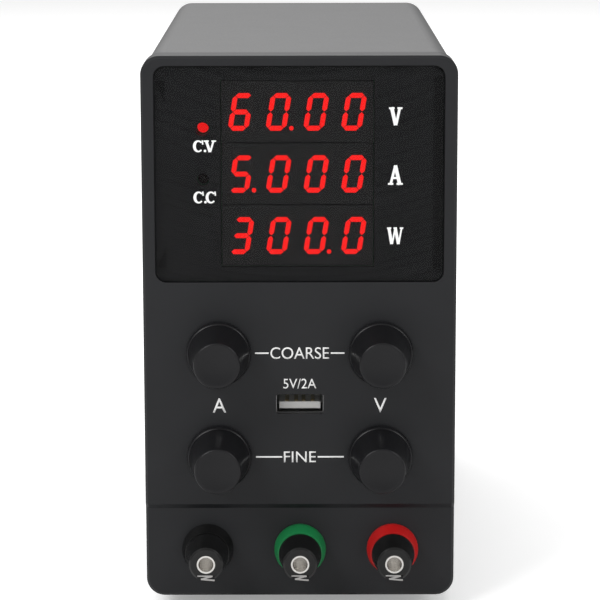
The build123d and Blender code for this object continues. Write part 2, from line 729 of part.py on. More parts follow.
def make_shaft(name, x, z):
    """Control shaft with a flat where the knob grips it."""
    with BuildPart() as shaft:
        with BuildSketch(facing(POT_BACK - POT_BACK_WALL - SEAT_GAP)):
            with Locations((x, z)):
                Circle(SHAFT_SIZE / 2)
        extrude(amount=POT_BACK - POT_BACK_WALL - SEAT_GAP - SHAFT_FRONT)
        with BuildSketch(facing(FLAT_START)):
            with Locations((x, z + SHAFT_SIZE - SHAFT_FLAT)):
                Rectangle(SHAFT_SIZE + 1, SHAFT_SIZE)
        extrude(amount=FLAT_START - SHAFT_FRONT + 1, mode=Mode.SUBTRACT)
    save(shaft.part, f"shaft_{name}")


for knob_name, (knob_x, knob_z) in KNOBS.items():
    make_knob(knob_name, knob_x, knob_z)
    make_shaft(knob_name, knob_x, knob_z)

# Charging socket: folded steel shell, moulded insulator with its plate, four contacts
USB_BACK = USB_FRONT + USB_LENGTH
PLATE_Z = USB_Z - TONGUE_PLATE_DROP
PLATE_FRONT = USB_FRONT + TONGUE_PLATE_SETBACK
with BuildPart() as usb_shell:
    with BuildSketch(facing(USB_BACK)):
        with Locations((0, USB_Z)):
            RectangleRounded(
                USB_WIDTH_INSIDE + 2 * USB_SHEET, USB_HEIGHT_INSIDE + 2 * USB_SHEET,
                USB_CORNER + USB_SHEET,
            )
            RectangleRounded(
                USB_WIDTH_INSIDE, USB_HEIGHT_INSIDE, USB_CORNER, mode=Mode.SUBTRACT
            )
    extrude(amount=USB_LENGTH)
save(usb_shell.part, "usb_shell")

with BuildPart() as usb_tongue:
    with BuildSketch(facing(USB_BACK)):
        with Locations((0, USB_Z)):
            RectangleRounded(
                USB_WIDTH_INSIDE - 2 * GRIP_GAP, USB_HEIGHT_INSIDE - 2 * GRIP_GAP, USB_CORNER
            )
    extrude(amount=USB_BLOCK)
    with BuildSketch(facing(USB_BACK - USB_BLOCK)):
        with Locations((0, PLATE_Z)):
            Rectangle(TONGUE_PLATE_WIDTH, TONGUE_PLATE_THICKNESS)
    extrude(amount=USB_BACK - USB_BLOCK - PLATE_FRONT)
save(usb_tongue.part, "usb_tongue")

with BuildPart() as usb_contacts:
    with BuildSketch(facing(USB_BACK - USB_BLOCK)):
        contact_z = PLATE_Z + (TONGUE_PLATE_THICKNESS + CONTACT_THICKNESS) / 2
        with Locations(*[(x, contact_z) for x in CONTACT_PLACES]):
            Rectangle(CONTACT_WIDTH, CONTACT_THICKNESS)
    extrude(amount=USB_BACK - USB_BLOCK - PLATE_FRONT - CONTACT_WIDTH)
save(usb_contacts.part, "usb_contacts")


def make_post_base(colour, x):
    """Coloured insulator: flange on the lower band, short cone in front, neck through the bezel."""
    with BuildPart() as base:
        with BuildSketch(turning(x, POST_Z)):
            bore = STUD_SIZE / 2 + RUN_GAP
            with BuildLine():
                Polyline(
                    (bore, CONE_FRONT),
                    (POST_CONE / 2, CONE_FRONT),
                    (POST_FLANGE / 2, FRONT),
                    (POST_FLANGE / 2, LOWER_FACE),
                    (POST_NECK / 2, LOWER_FACE),
                    (POST_NECK / 2, FACE_BACK),
                    (bore, FACE_BACK),
                    close=True,
                )
            make_face()
        revolve(axis=axis_along(x, POST_Z))
    save(base.part, f"post_base_{colour}")


def make_post_washer(colour, x):
    """Loose contact washer on the stud, which the cap drags round."""
    with BuildPart() as washer:
        with BuildSketch(facing(WASHER_BACK)):
            with Locations((x, POST_Z)):
                Circle(WASHER_SIZE / 2)
                many_sided(STUD_SIZE + 2 * RUN_GAP, Mode.SUBTRACT)
        extrude(amount=WASHER_THICKNESS)
    save(washer.part, f"post_washer_{colour}")


def make_post_cap(colour, x):
    """Screw cap: a tapered sleeve on the stud, with a notch at the bottom of its front end."""
    with BuildPart() as cap:
        with BuildSketch(turning(x, POST_Z)):
            bore = STUD_SIZE / 2 + RUN_GAP
            with BuildLine():
                Polyline(
                    (bore, CAP_FRONT_Y),
                    (CAP_FRONT / 2 - CAP_EDGE, CAP_FRONT_Y),
                    (CAP_FRONT / 2, CAP_FRONT_Y + CAP_EDGE),
                    (CAP_BACK / 2, CAP_BACK_Y),
                    (bore, CAP_BACK_Y),
                    close=True,
                )
            make_face()
        revolve(axis=axis_along(x, POST_Z))
        with BuildSketch(facing(CAP_FRONT_Y + CAP_NOTCH_DEPTH)):
            with Locations((x, POST_Z - CAP_FRONT / 2)):
                Rectangle(CAP_NOTCH, CAP_FRONT - STUD_SIZE - 2 * CAP_EDGE)
        extrude(amount=2 * CAP_NOTCH_DEPTH, mode=Mode.SUBTRACT)
    save(cap.part, f"post_cap_{colour}")


for post_colour, post_x in POST_COLOURS.items():
    make_post_base(post_colour, post_x)
    make_post_washer(post_colour, post_x)
    make_post_cap(post_colour, post_x)

# Plated studs: hollow at the front for a 4 mm plug, cross-drilled for a bare wire, threaded at the back
STUD_PLACES = [(x, POST_Z) for x in POST_COLOURS.values()]
STUD_BACK = FACE_BACK + STUD_TAIL
with BuildPart() as post_studs:
    with BuildSketch(facing(STUD_BACK)):
        with Locations(*STUD_PLACES):
            Circle(STUD_SIZE / 2)
    extrude(amount=STUD_BACK - CAP_FRONT_Y)
    with BuildSketch(facing(CAP_FRONT_Y + SOCKET_DEPTH)):
        with Locations(*STUD_PLACES):
            Circle(SOCKET_SIZE / 2)
    extrude(amount=SOCKET_DEPTH + 1, mode=Mode.SUBTRACT)
save(post_studs.part, "post_studs")

# Two hexagon nuts on each stud, clamping a solder lug between them
NUT_BACK = FACE_BACK + POST_NUT_THICKNESS
LUG_BACK = NUT_BACK + LUG_THICKNESS
with BuildPart() as post_nuts:
    for nut_back in (NUT_BACK, LUG_BACK + POST_NUT_THICKNESS):
        with BuildSketch(facing(nut_back)):
            with Locations(*STUD_PLACES):
                RegularPolygon(POST_NUT_ACROSS / 2, 6, major_radius=False)
                many_sided(STUD_SIZE + 2 * RUN_GAP, Mode.SUBTRACT)
        extrude(amount=POST_NUT_THICKNESS)
save(post_nuts.part, "post_nuts")

with BuildPart() as post_lugs:
    with BuildSketch(facing(LUG_BACK)):
        with Locations(*[(x, z + (LUG_LENGTH - LUG_SIZE) / 2) for x, z in STUD_PLACES]):
            Rectangle(LUG_SIZE, LUG_LENGTH)
        with Locations(*STUD_PLACES):
            many_sided(STUD_SIZE + 2 * RUN_GAP, Mode.SUBTRACT)
    extrude(amount=LUG_THICKNESS)
save(post_lugs.part, "post_lugs")

# Tray: folded steel floor with two side flanges and pressed pillars for the main board
BOARD_HOLES = [
    (side * (MAIN_BOARD_WIDTH / 2 - STANDOFF_INSET), y)
    for side in (-1, 1)
    for y in (BOARD_FRONT + STANDOFF_INSET, BOARD_BACK - STANDOFF_INSET)
]
FOOT_PLACES = [(side * FOOT_X, y) for side in (-1, 1) for y in (FOOT_FRONT, FOOT_BACK)]
BOTTOM_PLACES = [
    (side * BOTTOM_SCREW_X, y) for side in (-1, 1) for y in (BOTTOM_SCREW_FRONT, BOTTOM_SCREW_BACK)
]
SIDE_SCREW_Y = FRONT + SIDE_SCREW_SETBACK
SIDE_SCREW_Z = BASE + SIDE_SCREW_HEIGHT
with BuildPart() as chassis_tray:
    with BuildSketch(facing(TRAY_BACK)):
        with BuildLine():
            half, low, high = TRAY_WIDTH / 2, TRAY_BOTTOM, TRAY_BOTTOM + TRAY_FLANGE
            FilletPolyline(
                (-half, high), (-half, low), (half, low), (half, high), radius=TRAY_CORNER
            )
            Polyline((half, high), (half - SHEET, high))
            FilletPolyline(
                (half - SHEET, high), (half - SHEET, low + SHEET),
                (SHEET - half, low + SHEET), (SHEET - half, high), radius=TRAY_CORNER - SHEET,
            )
            Line((SHEET - half, high), (-half, high))
        make_face()
    extrude(amount=TRAY_BACK - COVER_FRONT)
    with BuildSketch(Plane.XY.offset(TRAY_FLOOR)):
        with Locations(*BOARD_HOLES):
            Rectangle(STANDOFF_SIZE, STANDOFF_SIZE)
    extrude(amount=STANDOFF_HEIGHT)
    with BuildSketch(Plane.XY.offset(TRAY_BOTTOM)):
        with Locations(*FOOT_PLACES, *BOTTOM_PLACES, *BOARD_HOLES):
            screw_hole()
        with Locations((0, FRONT + SLOT_MIDDLE)):
            with GridLocations(1, SLOT_PITCH, 1, FLOOR_SLOTS):
                Rectangle(SLOT_LENGTH, SLOT_WIDTH)
    extrude(amount=SHEET + STANDOFF_HEIGHT, mode=Mode.SUBTRACT)
    with BuildSketch(side_on(-WIDTH)):
        with Locations((SIDE_SCREW_Y, SIDE_SCREW_Z)):
            screw_hole()
    extrude(amount=2 * WIDTH, mode=Mode.SUBTRACT)
save(chassis_tray.part, "chassis_tray")

# Cover: one folded steel sheet over the top and both sides, slotted for air
COVER_BOTTOM = BASE + COVER_LIFT
SIDE_HOLES = [(SIDE_SCREW_Y, SIDE_SCREW_Z)]
SIDE_HOLES += [
    (REAR - REAR_SCREW_SETBACK, BASE + z) for z in (REAR_SCREW_LOW, HEIGHT - REAR_SCREW_DROP)
]
with BuildPart() as cover:
    with BuildSketch(facing(REAR)):
        with BuildLine():
            half = COVER_WIDTH / 2
            inner = half - SHEET
            FilletPolyline(
                (-half, COVER_BOTTOM), (-half, COVER_TOP), (half, COVER_TOP), (half, COVER_BOTTOM),
                radius=COVER_CORNER,
            )
            Line((half, COVER_BOTTOM), (inner, COVER_BOTTOM))
            FilletPolyline(
                (inner, COVER_BOTTOM), (inner, COVER_TOP - SHEET),
                (-inner, COVER_TOP - SHEET), (-inner, COVER_BOTTOM), radius=COVER_CORNER - SHEET,
            )
            Line((-inner, COVER_BOTTOM), (-half, COVER_BOTTOM))
        make_face()
    extrude(amount=REAR - COVER_FRONT)
    with BuildSketch(side_on(-WIDTH)):
        for row in SLOT_ROWS:
            with Locations((FRONT + SLOT_MIDDLE, BASE + row)):
                with GridLocations(SLOT_PITCH, 1, SLOTS_IN_ROW, 1):
                    Rectangle(SLOT_WIDTH, SLOT_LENGTH)
        with Locations(*SIDE_HOLES):
            screw_hole()
    extrude(amount=2 * WIDTH, mode=Mode.SUBTRACT)
save(cover.part, "cover")

# Rear panel: flat sheet folded forward at both sides and at the bottom, with its cut-outs
with BuildPart() as rear_panel:
    with BuildSketch(facing(PANEL_OUT)):
        with Locations((0, (TRAY_BOTTOM + INNER_TOP) / 2)):
            RectangleRounded(
                2 * FLANGE_FACE, INNER_TOP - TRAY_BOTTOM, COVER_CORNER - SHEET - SEAT_GAP
            )
    extrude(amount=SHEET)
    flange_low = TRAY_BOTTOM + TRAY_FLANGE + 1
    flange_high = INNER_TOP - COVER_CORNER
    with BuildSketch(facing(PANEL_IN)):
        for side in (-1, 1):
            with Locations((side * (FLANGE_FACE - SHEET / 2), (flange_low + flange_high) / 2)):
                Rectangle(SHEET, flange_high - flange_low)
        with Locations((0, TRAY_FLOOR + SEAT_GAP + SHEET / 2)):
            Rectangle(2 * (BOTTOM_SCREW_X + BOSS_BLOCK), SHEET)
    extrude(amount=PANEL_FLANGE)
    with BuildSketch(facing(PANEL_OUT)):
        with Locations((0, FAN_Z)):
            Circle(FAN_BORE / 2)
            with GridLocations(FAN_HOLE_SPACING, FAN_HOLE_SPACING, 2, 2):
                many_sided(FAN_HOLE)
        with Locations((INLET_X, INLET_Z)):
            Rectangle(INLET_BODY_WIDTH + 2 * SEAT_GAP, INLET_BODY_HEIGHT + 2 * SEAT_GAP)
        with Locations((SWITCH_X, SWITCH_Z)):
            Rectangle(SWITCH_BODY_WIDTH + 2 * SEAT_GAP, SWITCH_BODY_HEIGHT + 2 * SEAT_GAP)
        with Locations((SELECTOR_X, SELECTOR_Z)):
            Rectangle(SELECTOR_BODY_WIDTH + 2 * SEAT_GAP, SELECTOR_BODY_HEIGHT + 2 * SEAT_GAP)
    extrude(amount=SHEET, mode=Mode.SUBTRACT)
    with BuildSketch(side_on(-WIDTH)):
        with Locations(*SIDE_HOLES[1:]):
            screw_hole()
    extrude(amount=2 * WIDTH, mode=Mode.SUBTRACT)
    with BuildSketch(Plane.XY.offset(TRAY_FLOOR)):
        with Locations((-BOTTOM_SCREW_X, BOTTOM_SCREW_BACK), (BOTTOM_SCREW_X, BOTTOM_SCREW_BACK)):
            screw_hole()
    extrude(amount=2 * SHEET, mode=Mode.SUBTRACT)
save(rear_panel.part, "rear_panel")


# Every case, board and foot screw is the same one: a pan head on its seat and a shank through it
SCREW_SEATS = [
    Plane(origin=(side * COVER_WIDTH / 2, y, z), z_dir=(side, 0, 0))
    for side in (-1, 1)
    for y, z in SIDE_HOLES
]
SCREW_SEATS += [Plane(origin=(x, y, TRAY_BOTTOM), z_dir=(0, 0, -1)) for x, y in BOTTOM_PLACES]
SCREW_SEATS += [Plane(origin=(x, y, FOOT_RECESS_DEPTH), z_dir=(0, 0, -1)) for x, y in FOOT_PLACES]
SCREW_SEATS += [Plane(origin=(x, y, BOARD_TOP), z_dir=(0, 0, 1)) for x, y in BOARD_HOLES]
with BuildPart() as case_screws:
    for seat in SCREW_SEATS:
        with BuildSketch(seat):
            RegularPolygon(SCREW_HEAD / 2, SCREW_SIDES)
        extrude(amount=SCREW_HEAD_HEIGHT)
        with BuildSketch(seat):
            RegularPolygon(SCREW_SIZE / 2, SCREW_SIDES)
        extrude(amount=-SCREW_LENGTH)
save(case_screws.part, "case_screws")

# Rubber feet: they widen upwards and are recessed below for their screws
with BuildPart() as rubber_feet:
    for place in FOOT_PLACES:
        for z, size in ((0, FOOT_SIZE - 2 * FOOT_TAPER), (TRAY_BOTTOM, FOOT_SIZE)):
            with BuildSketch(Plane.XY.offset(z)):
                with Locations(place):
                    RegularPolygon(size / 2, ROUND_SIDES)
        loft(ruled=True)
    with BuildSketch(Plane.XY):
        with Locations(*FOOT_PLACES):
            RegularPolygon(FOOT_RECESS / 2, ROUND_SIDES)
    extrude(amount=FOOT_RECESS_DEPTH, mode=Mode.SUBTRACT)
    with BuildSketch(Plane.XY):
        with Locations(*FOOT_PLACES):
            screw_hole()
    extrude(amount=TRAY_BOTTOM, mode=Mode.SUBTRACT)
save(rubber_feet.part, "rubber_feet")

# Main board
with BuildPart() as main_board:
    with BuildSketch(Plane.XY.offset(BOARD_BOTTOM)):
        with Locations((0, (BOARD_FRONT + BOARD_BACK) / 2)):
            Rectangle(MAIN_BOARD_WIDTH, MAIN_BOARD_LENGTH)
        with Locations(*BOARD_HOLES):
            screw_hole(Mode.SUBTRACT)
    extrude(amount=BOARD_THICKNESS)
save(main_board.part, "main_board")

# Transformer: wound bobbin in a ferrite core
TRANSFORMER_Y = FRONT + TRANSFORMER_SETBACK
with BuildPart() as transformer:
    with BuildSketch(Plane.XY.offset(BOARD_TOP)):
        with Locations((0, TRANSFORMER_Y)):
            Rectangle(CORE_WIDTH, CORE_DEPTH)
    extrude(amount=CORE_HEIGHT)
    with BuildSketch(Plane.XY.offset(BOARD_TOP + (CORE_HEIGHT - WINDING_HEIGHT) / 2)):
        with Locations((0, TRANSFORMER_Y)):
            RectangleRounded(WINDING_WIDTH, WINDING_DEPTH, WINDING_CORNER)
    extrude(amount=WINDING_HEIGHT)
save(transformer.part, "transformer")


def make_heat_sink(name, side, middle_y):
    """Extruded heat sink on one side of the board, its fins towards the cover."""
    fin_pitch = (SINK_LENGTH - SINK_FIN) / (SINK_FINS - 1)
    base_x = side * (SINK_OUTER - SINK_FIN_REACH - SINK_BASE / 2)
    fin_x = side * (SINK_OUTER - SINK_FIN_REACH / 2)
    with BuildPart() as sink:
        with BuildSketch(Plane.XY.offset(BOARD_TOP)):
            with Locations((base_x, middle_y)):
                Rectangle(SINK_BASE, SINK_LENGTH)
            with Locations((fin_x, middle_y)):
                with GridLocations(1, fin_pitch, 1, SINK_FINS):
                    Rectangle(SINK_FIN_REACH, SINK_FIN)
        extrude(amount=SINK_HEIGHT)
    save(sink.part, name)


PRIMARY_SINK_Y = FRONT + PRIMARY_SINK_SETBACK
OUTPUT_SINK_Y = FRONT + OUTPUT_SINK_SETBACK
make_heat_sink("primary_heatsink", -1, PRIMARY_SINK_Y)
make_heat_sink("output_heatsink", 1, OUTPUT_SINK_Y)

# Power semiconductors clamped to the inner faces of the heat sinks, on three leads each
DEVICE_X = SINK_OUTER - SINK_FIN_REACH - SINK_BASE - DEVICE_THICKNESS / 2
DEVICES = [
    (side * DEVICE_X, middle + step * DEVICE_SPACING / 2)
    for side, middle in ((-1, PRIMARY_SINK_Y), (1, OUTPUT_SINK_Y))
    for step in (-1, 1)
]
with BuildPart() as power_devices:
    with BuildSketch(Plane.XY.offset(BOARD_TOP + DEVICE_LIFT)):
        with Locations(*DEVICES):
            Rectangle(DEVICE_THICKNESS, DEVICE_WIDTH)
    extrude(amount=DEVICE_HEIGHT)
    with BuildSketch(Plane.XY.offset(BOARD_TOP)):
        with Locations(*DEVICES):
            with GridLocations(1, LEAD_PITCH, 1, 3):
                Rectangle(LEAD_THICKNESS, LEAD_WIDTH)
    extrude(amount=DEVICE_LIFT)
save(power_devices.part, "power_devices")

# Capacitors: two mains cans at the back, three output cans at the front
with BuildPart() as bulk_capacitors:
    with BuildSketch(Plane.XY.offset(BOARD_TOP)):
        with Locations((-BULK_X, FRONT + BULK_SETBACK), (BULK_X, FRONT + BULK_SETBACK)):
            RegularPolygon(BULK_SIZE / 2, 2 * ROUND_SIDES)
    extrude(amount=BULK_HEIGHT)
save(bulk_capacitors.part, "bulk_capacitors")

with BuildPart() as output_capacitors:
    with BuildSketch(Plane.XY.offset(BOARD_TOP)):
        with Locations((-OUTPUT_CAP_SPACING / 2, FRONT + OUTPUT_CAP_SETBACK)):
            with GridLocations(OUTPUT_CAP_SPACING, 1, 3, 1):
                RegularPolygon(OUTPUT_CAP_SIZE / 2, 2 * ROUND_SIDES)
    extrude(amount=OUTPUT_CAP_HEIGHT)
save(output_capacitors.part, "output_capacitors")


def make_choke(name, x, y):
    """Wound ring lying on the board: one flat side to each turn of wire."""
    with BuildPart() as choke:
        with BuildSketch(Plane.XY.offset(BOARD_TOP)):
            with Locations((x, y)):
                RegularPolygon(RING_OUTSIDE / 2, CHOKE_TURNS)
                RegularPolygon(RING_INSIDE / 2, CHOKE_TURNS, mode=Mode.SUBTRACT)
        extrude(amount=RING_THICKNESS)
        chamfer(choke.faces().sort_by(Axis.Z)[-1].edges(), CHOKE_EDGE)
    save(choke.part, name)


make_choke("line_choke", 0, FRONT + LINE_CHOKE_SETBACK)
make_choke("output_choke", -MAIN_BOARD_WIDTH / 4, FRONT + OUTPUT_CHOKE_SETBACK)

# Fan frame: square shell round the bore, four arms to the bearing
with BuildPart() as fan_frame:
    with BuildSketch(facing(FAN_BACK)):
        with Locations((0, FAN_Z)):
            RectangleRounded(FAN_SIZE, FAN_SIZE, FAN_CORNER)
            Circle(FAN_BORE / 2, mode=Mode.SUBTRACT)
            with GridLocations(FAN_HOLE_SPACING, FAN_HOLE_SPACING, 2, 2):
                many_sided(FAN_HOLE, Mode.SUBTRACT)
    extrude(amount=FAN_DEPTH)
    with BuildSketch(facing(FAN_FRONT + FAN_ARM_THICKNESS)):
        with Locations((0, FAN_Z)):
            Rectangle(FAN_BORE + 1, FAN_ARM)
            Rectangle(FAN_ARM, FAN_BORE + 1)
            Circle(FAN_HUB / 2)
            Circle(FAN_SHAFT / 2 + RUN_GAP, mode=Mode.SUBTRACT)
    extrude(amount=FAN_ARM_THICKNESS)
    with BuildSketch(facing(FAN_FRONT + FAN_ARM_THICKNESS)):
        with Locations((0, FAN_Z)):
            Circle(FAN_BEARING / 2)
            Circle(FAN_SHAFT / 2 + RUN_GAP, mode=Mode.SUBTRACT)
    extrude(amount=-(FAN_HUB_LENGTH - FAN_HUB_WALL - MOVE_GAP))
save(fan_frame.part, "fan_frame")

# Fan rotor: cup on a shaft, with slanted blades that widen to their tips
HUB_FRONT = FAN_FRONT + FAN_ARM_THICKNESS + MOVE_GAP
HUB_BACK = HUB_FRONT + FAN_HUB_LENGTH
HUB_MIDDLE = (HUB_FRONT + HUB_BACK) / 2
BLADE_TIP = FAN_BORE / 2 - FAN_TIP_GAP
BLADE_ROOT = FAN_HUB / 2 - FAN_HUB_WALL / 2


def blade_plane(angle, radius):
    """Plane square to a blade's length: x runs to the back, y round the rotor."""
    outward = Vector(math.cos(angle), 0, math.sin(angle))
    return Plane(origin=Vector(0, HUB_MIDDLE, FAN_Z) + outward * radius, x_dir=(0, 1, 0), z_dir=outward)


with BuildPart() as fan_rotor:
    with BuildSketch(facing(HUB_BACK)):
        with Locations((0, FAN_Z)):
            Circle(FAN_HUB / 2)
    extrude(amount=FAN_HUB_LENGTH)
    with BuildSketch(facing(HUB_BACK - FAN_HUB_WALL)):
        with Locations((0, FAN_Z)):
            Circle(FAN_HUB / 2 - FAN_HUB_WALL)
    extrude(amount=FAN_HUB_LENGTH, mode=Mode.SUBTRACT)
    with BuildSketch(facing(HUB_BACK - FAN_HUB_WALL)):
        with Locations((0, FAN_Z)):
            Circle(FAN_SHAFT / 2)
    extrude(amount=HUB_BACK - FAN_HUB_WALL - FAN_FRONT - SEAT_GAP)
    for blade in range(FAN_BLADES):
        blade_angle = 2 * math.pi * blade / FAN_BLADES
        for radius, chord in ((BLADE_ROOT, BLADE_CHORD), (BLADE_TIP, BLADE_TIP_CHORD)):
            with BuildSketch(blade_plane(blade_angle, radius)):
                Rectangle(chord, BLADE_THICKNESS, rotation=BLADE_ANGLE)
        loft(ruled=True)
save(fan_rotor.part, "fan_rotor")

# Fan guard: rings, from the outside in, on two crossed bars that end in screw ears
EAR_REACH = FAN_HOLE_SPACING * math.sqrt(2) + GUARD_EAR / 2
with BuildPart() as fan_guard:
    with BuildSketch(facing(PANEL_OUT)):
        with Locations((0, FAN_Z)):
            Rectangle(EAR_REACH, GUARD_WIRE, rotation=45)
            Rectangle(EAR_REACH, GUARD_WIRE, rotation=-45)
            with GridLocations(FAN_HOLE_SPACING, FAN_HOLE_SPACING, 2, 2):
                RegularPolygon(GUARD_EAR / 2, ROUND_SIDES)
                many_sided(FAN_HOLE, Mode.SUBTRACT)
    extrude(amount=-GUARD_WIRE)
    with BuildSketch(facing(PANEL_OUT + GUARD_WIRE)):
        with Locations((0, FAN_Z)):
            for ring in GUARD_RINGS:
                RegularPolygon(ring, 2 * ROUND_SIDES)
                RegularPolygon(ring - GUARD_WIRE, 2 * ROUND_SIDES, mode=Mode.SUBTRACT)
    extrude(amount=-GUARD_WIRE)
save(fan_guard.part, "fan_guard")

# Four long screws through the guard's ears, the panel and the fan
with BuildPart() as fan_screws:
    with BuildSketch(facing(PANEL_OUT + GUARD_WIRE)):
        with Locations((0, FAN_Z)):
            with GridLocations(FAN_HOLE_SPACING, FAN_HOLE_SPACING, 2, 2):
                RegularPolygon(FAN_SCREW_HEAD / 2, SCREW_SIDES)
    extrude(amount=-FAN_SCREW_HEAD_HEIGHT)
    with BuildSketch(facing(PANEL_OUT + GUARD_WIRE)):
        with Locations((0, FAN_Z)):
            with GridLocations(FAN_HOLE_SPACING, FAN_HOLE_SPACING, 2, 2):
                RegularPolygon(FAN_SCREW_SIZE / 2, SCREW_SIDES)
    extrude(amount=FAN_SCREW_LENGTH)
save(fan_screws.part, "fan_screws")

# Mains inlet: flange outside the panel, body inside, a keyed cavity and a slot for the fuse drawer
with BuildPart() as inlet_housing:
    with BuildSketch(facing(INLET_FACE)):
        with Locations((INLET_X, INLET_Z)):
            RectangleRounded(INLET_WIDTH, INLET_HEIGHT, INLET_CORNER)
    extrude(amount=INLET_FLANGE)
    with BuildSketch(facing(PANEL_OUT)):
        with Locations((INLET_X, INLET_Z)):
            Rectangle(INLET_BODY_WIDTH, INLET_BODY_HEIGHT)
    extrude(amount=INLET_BODY_DEPTH)
    with BuildSketch(facing(INLET_FACE)):
        half_w, half_h = CAVITY_WIDTH / 2, CAVITY_HEIGHT / 2
        with Locations((INLET_X, CAVITY_Z)):
            Polygon(
                (-half_w, -half_h), (half_w, -half_h), (half_w, half_h - CAVITY_CHAMFER),
                (half_w - CAVITY_CHAMFER, half_h), (CAVITY_CHAMFER - half_w, half_h),
                (-half_w, half_h - CAVITY_CHAMFER), align=None,
            )
    extrude(amount=CAVITY_DEPTH, mode=Mode.SUBTRACT)
    with BuildSketch(facing(INLET_FACE)):
        with Locations((INLET_X, DRAWER_Z)):
            Rectangle(DRAWER_WIDTH + 2 * SLIDE_GAP, DRAWER_HEIGHT + 2 * SLIDE_GAP)
    extrude(amount=DRAWER_DEPTH + SLIDE_GAP, mode=Mode.SUBTRACT)
    with BuildSketch(facing(INLET_FACE)):
        with Locations(
            (INLET_X - PIN_SPACING / 2, CAVITY_Z - PIN_RISE / 2),
            (INLET_X + PIN_SPACING / 2, CAVITY_Z - PIN_RISE / 2),
            (INLET_X, CAVITY_Z + PIN_RISE / 2),
        ):
            Rectangle(PIN_WIDTH + 2 * GRIP_GAP, PIN_HEIGHT + 2 * GRIP_GAP)
    extrude(amount=INLET_FLANGE + INLET_BODY_DEPTH + 1, mode=Mode.SUBTRACT)
save(inlet_housing.part, "inlet_housing")

# Three flat pins, which end in tags behind the inlet
with BuildPart() as inlet_pins:
    with BuildSketch(facing(PANEL_OUT - INLET_BODY_DEPTH - PIN_TAIL)):
        with Locations(
            (INLET_X - PIN_SPACING / 2, CAVITY_Z - PIN_RISE / 2),
            (INLET_X + PIN_SPACING / 2, CAVITY_Z - PIN_RISE / 2),
            (INLET_X, CAVITY_Z + PIN_RISE / 2),
        ):
            Rectangle(PIN_WIDTH, PIN_HEIGHT)
    extrude(amount=-(PIN_TAIL + INLET_BODY_DEPTH + INLET_FLANGE - PIN_SETBACK))
save(inlet_pins.part, "inlet_pins")

# Fuse drawer with a pocket at its inner end, and the glass fuse in it
DRAWER_BACK = INLET_FACE - DRAWER_DEPTH
FUSE_Y = DRAWER_BACK + FUSE_SETBACK
with BuildPart() as fuse_drawer:
    with BuildSketch(facing(DRAWER_BACK)):
        with Locations((INLET_X, DRAWER_Z)):
            Rectangle(DRAWER_WIDTH, DRAWER_HEIGHT)
    extrude(amount=-DRAWER_DEPTH)
    with BuildSketch(facing(INLET_FACE)):
        with Locations((INLET_X, DRAWER_Z)):
            Rectangle(DRAWER_PLATE_WIDTH, DRAWER_PLATE_HEIGHT)
    extrude(amount=-DRAWER_PLATE)
    with BuildSketch(facing(INLET_FACE + DRAWER_PLATE)):
        with Locations((INLET_X, DRAWER_Z + (DRAWER_PLATE_HEIGHT - DRAWER_GRIP_HEIGHT) / 2)):
            Rectangle(DRAWER_PLATE_WIDTH / 2, DRAWER_GRIP_HEIGHT)
    extrude(amount=-DRAWER_GRIP)
    with BuildSketch(Plane.XY.offset(DRAWER_Z - FUSE_SIZE / 2 - SLIDE_GAP)):
        with Locations((INLET_X, FUSE_Y)):
            Rectangle(FUSE_LENGTH + 2 * SLIDE_GAP, FUSE_SIZE + 2 * SLIDE_GAP)
    extrude(amount=DRAWER_HEIGHT, mode=Mode.SUBTRACT)
save(fuse_drawer.part, "fuse_drawer")

with BuildPart() as fuse:
    with BuildSketch(side_on(INLET_X - FUSE_LENGTH / 2)):
        with Locations((FUSE_Y, DRAWER_Z)):
            Circle(FUSE_SIZE / 2)
    extrude(amount=FUSE_LENGTH)
save(fuse.part, "fuse")

# Rocker switch frame: flange, body, and a well with bearing holes for the rocker's pins
WELL_HALF = ROCKER_RADIUS + MOVE_GAP
with BuildPart() as switch_frame:
    with BuildSketch(facing(SWITCH_FACE)):
        with Locations((SWITCH_X, SWITCH_Z)):
            RectangleRounded(SWITCH_WIDTH, SWITCH_HEIGHT, CORNER)
    extrude(amount=SWITCH_FLANGE)
    with BuildSketch(facing(PANEL_OUT)):
        with Locations((SWITCH_X, SWITCH_Z)):
            Rectangle(SWITCH_BODY_WIDTH, SWITCH_BODY_HEIGHT)
    extrude(amount=SWITCH_BODY_DEPTH)
    with BuildSketch(facing(SWITCH_FACE)):
        with Locations((SWITCH_X, SWITCH_Z)):
            Rectangle(ROCKER_WIDTH + 2 * MOVE_GAP, 2 * WELL_HALF)
    extrude(amount=SWITCH_FACE - ROCKER_Y + WELL_HALF, mode=Mode.SUBTRACT)
    pin_span = ROCKER_WIDTH / 2 + ROCKER_PIN_LENGTH + SEAT_GAP
    with BuildSketch(side_on(SWITCH_X)):
        with Locations((ROCKER_Y, SWITCH_Z)):
            Circle(ROCKER_PIN / 2 + RUN_GAP)
    extrude(amount=pin_span, both=True, mode=Mode.SUBTRACT)
save(switch_frame.part, "switch_frame")

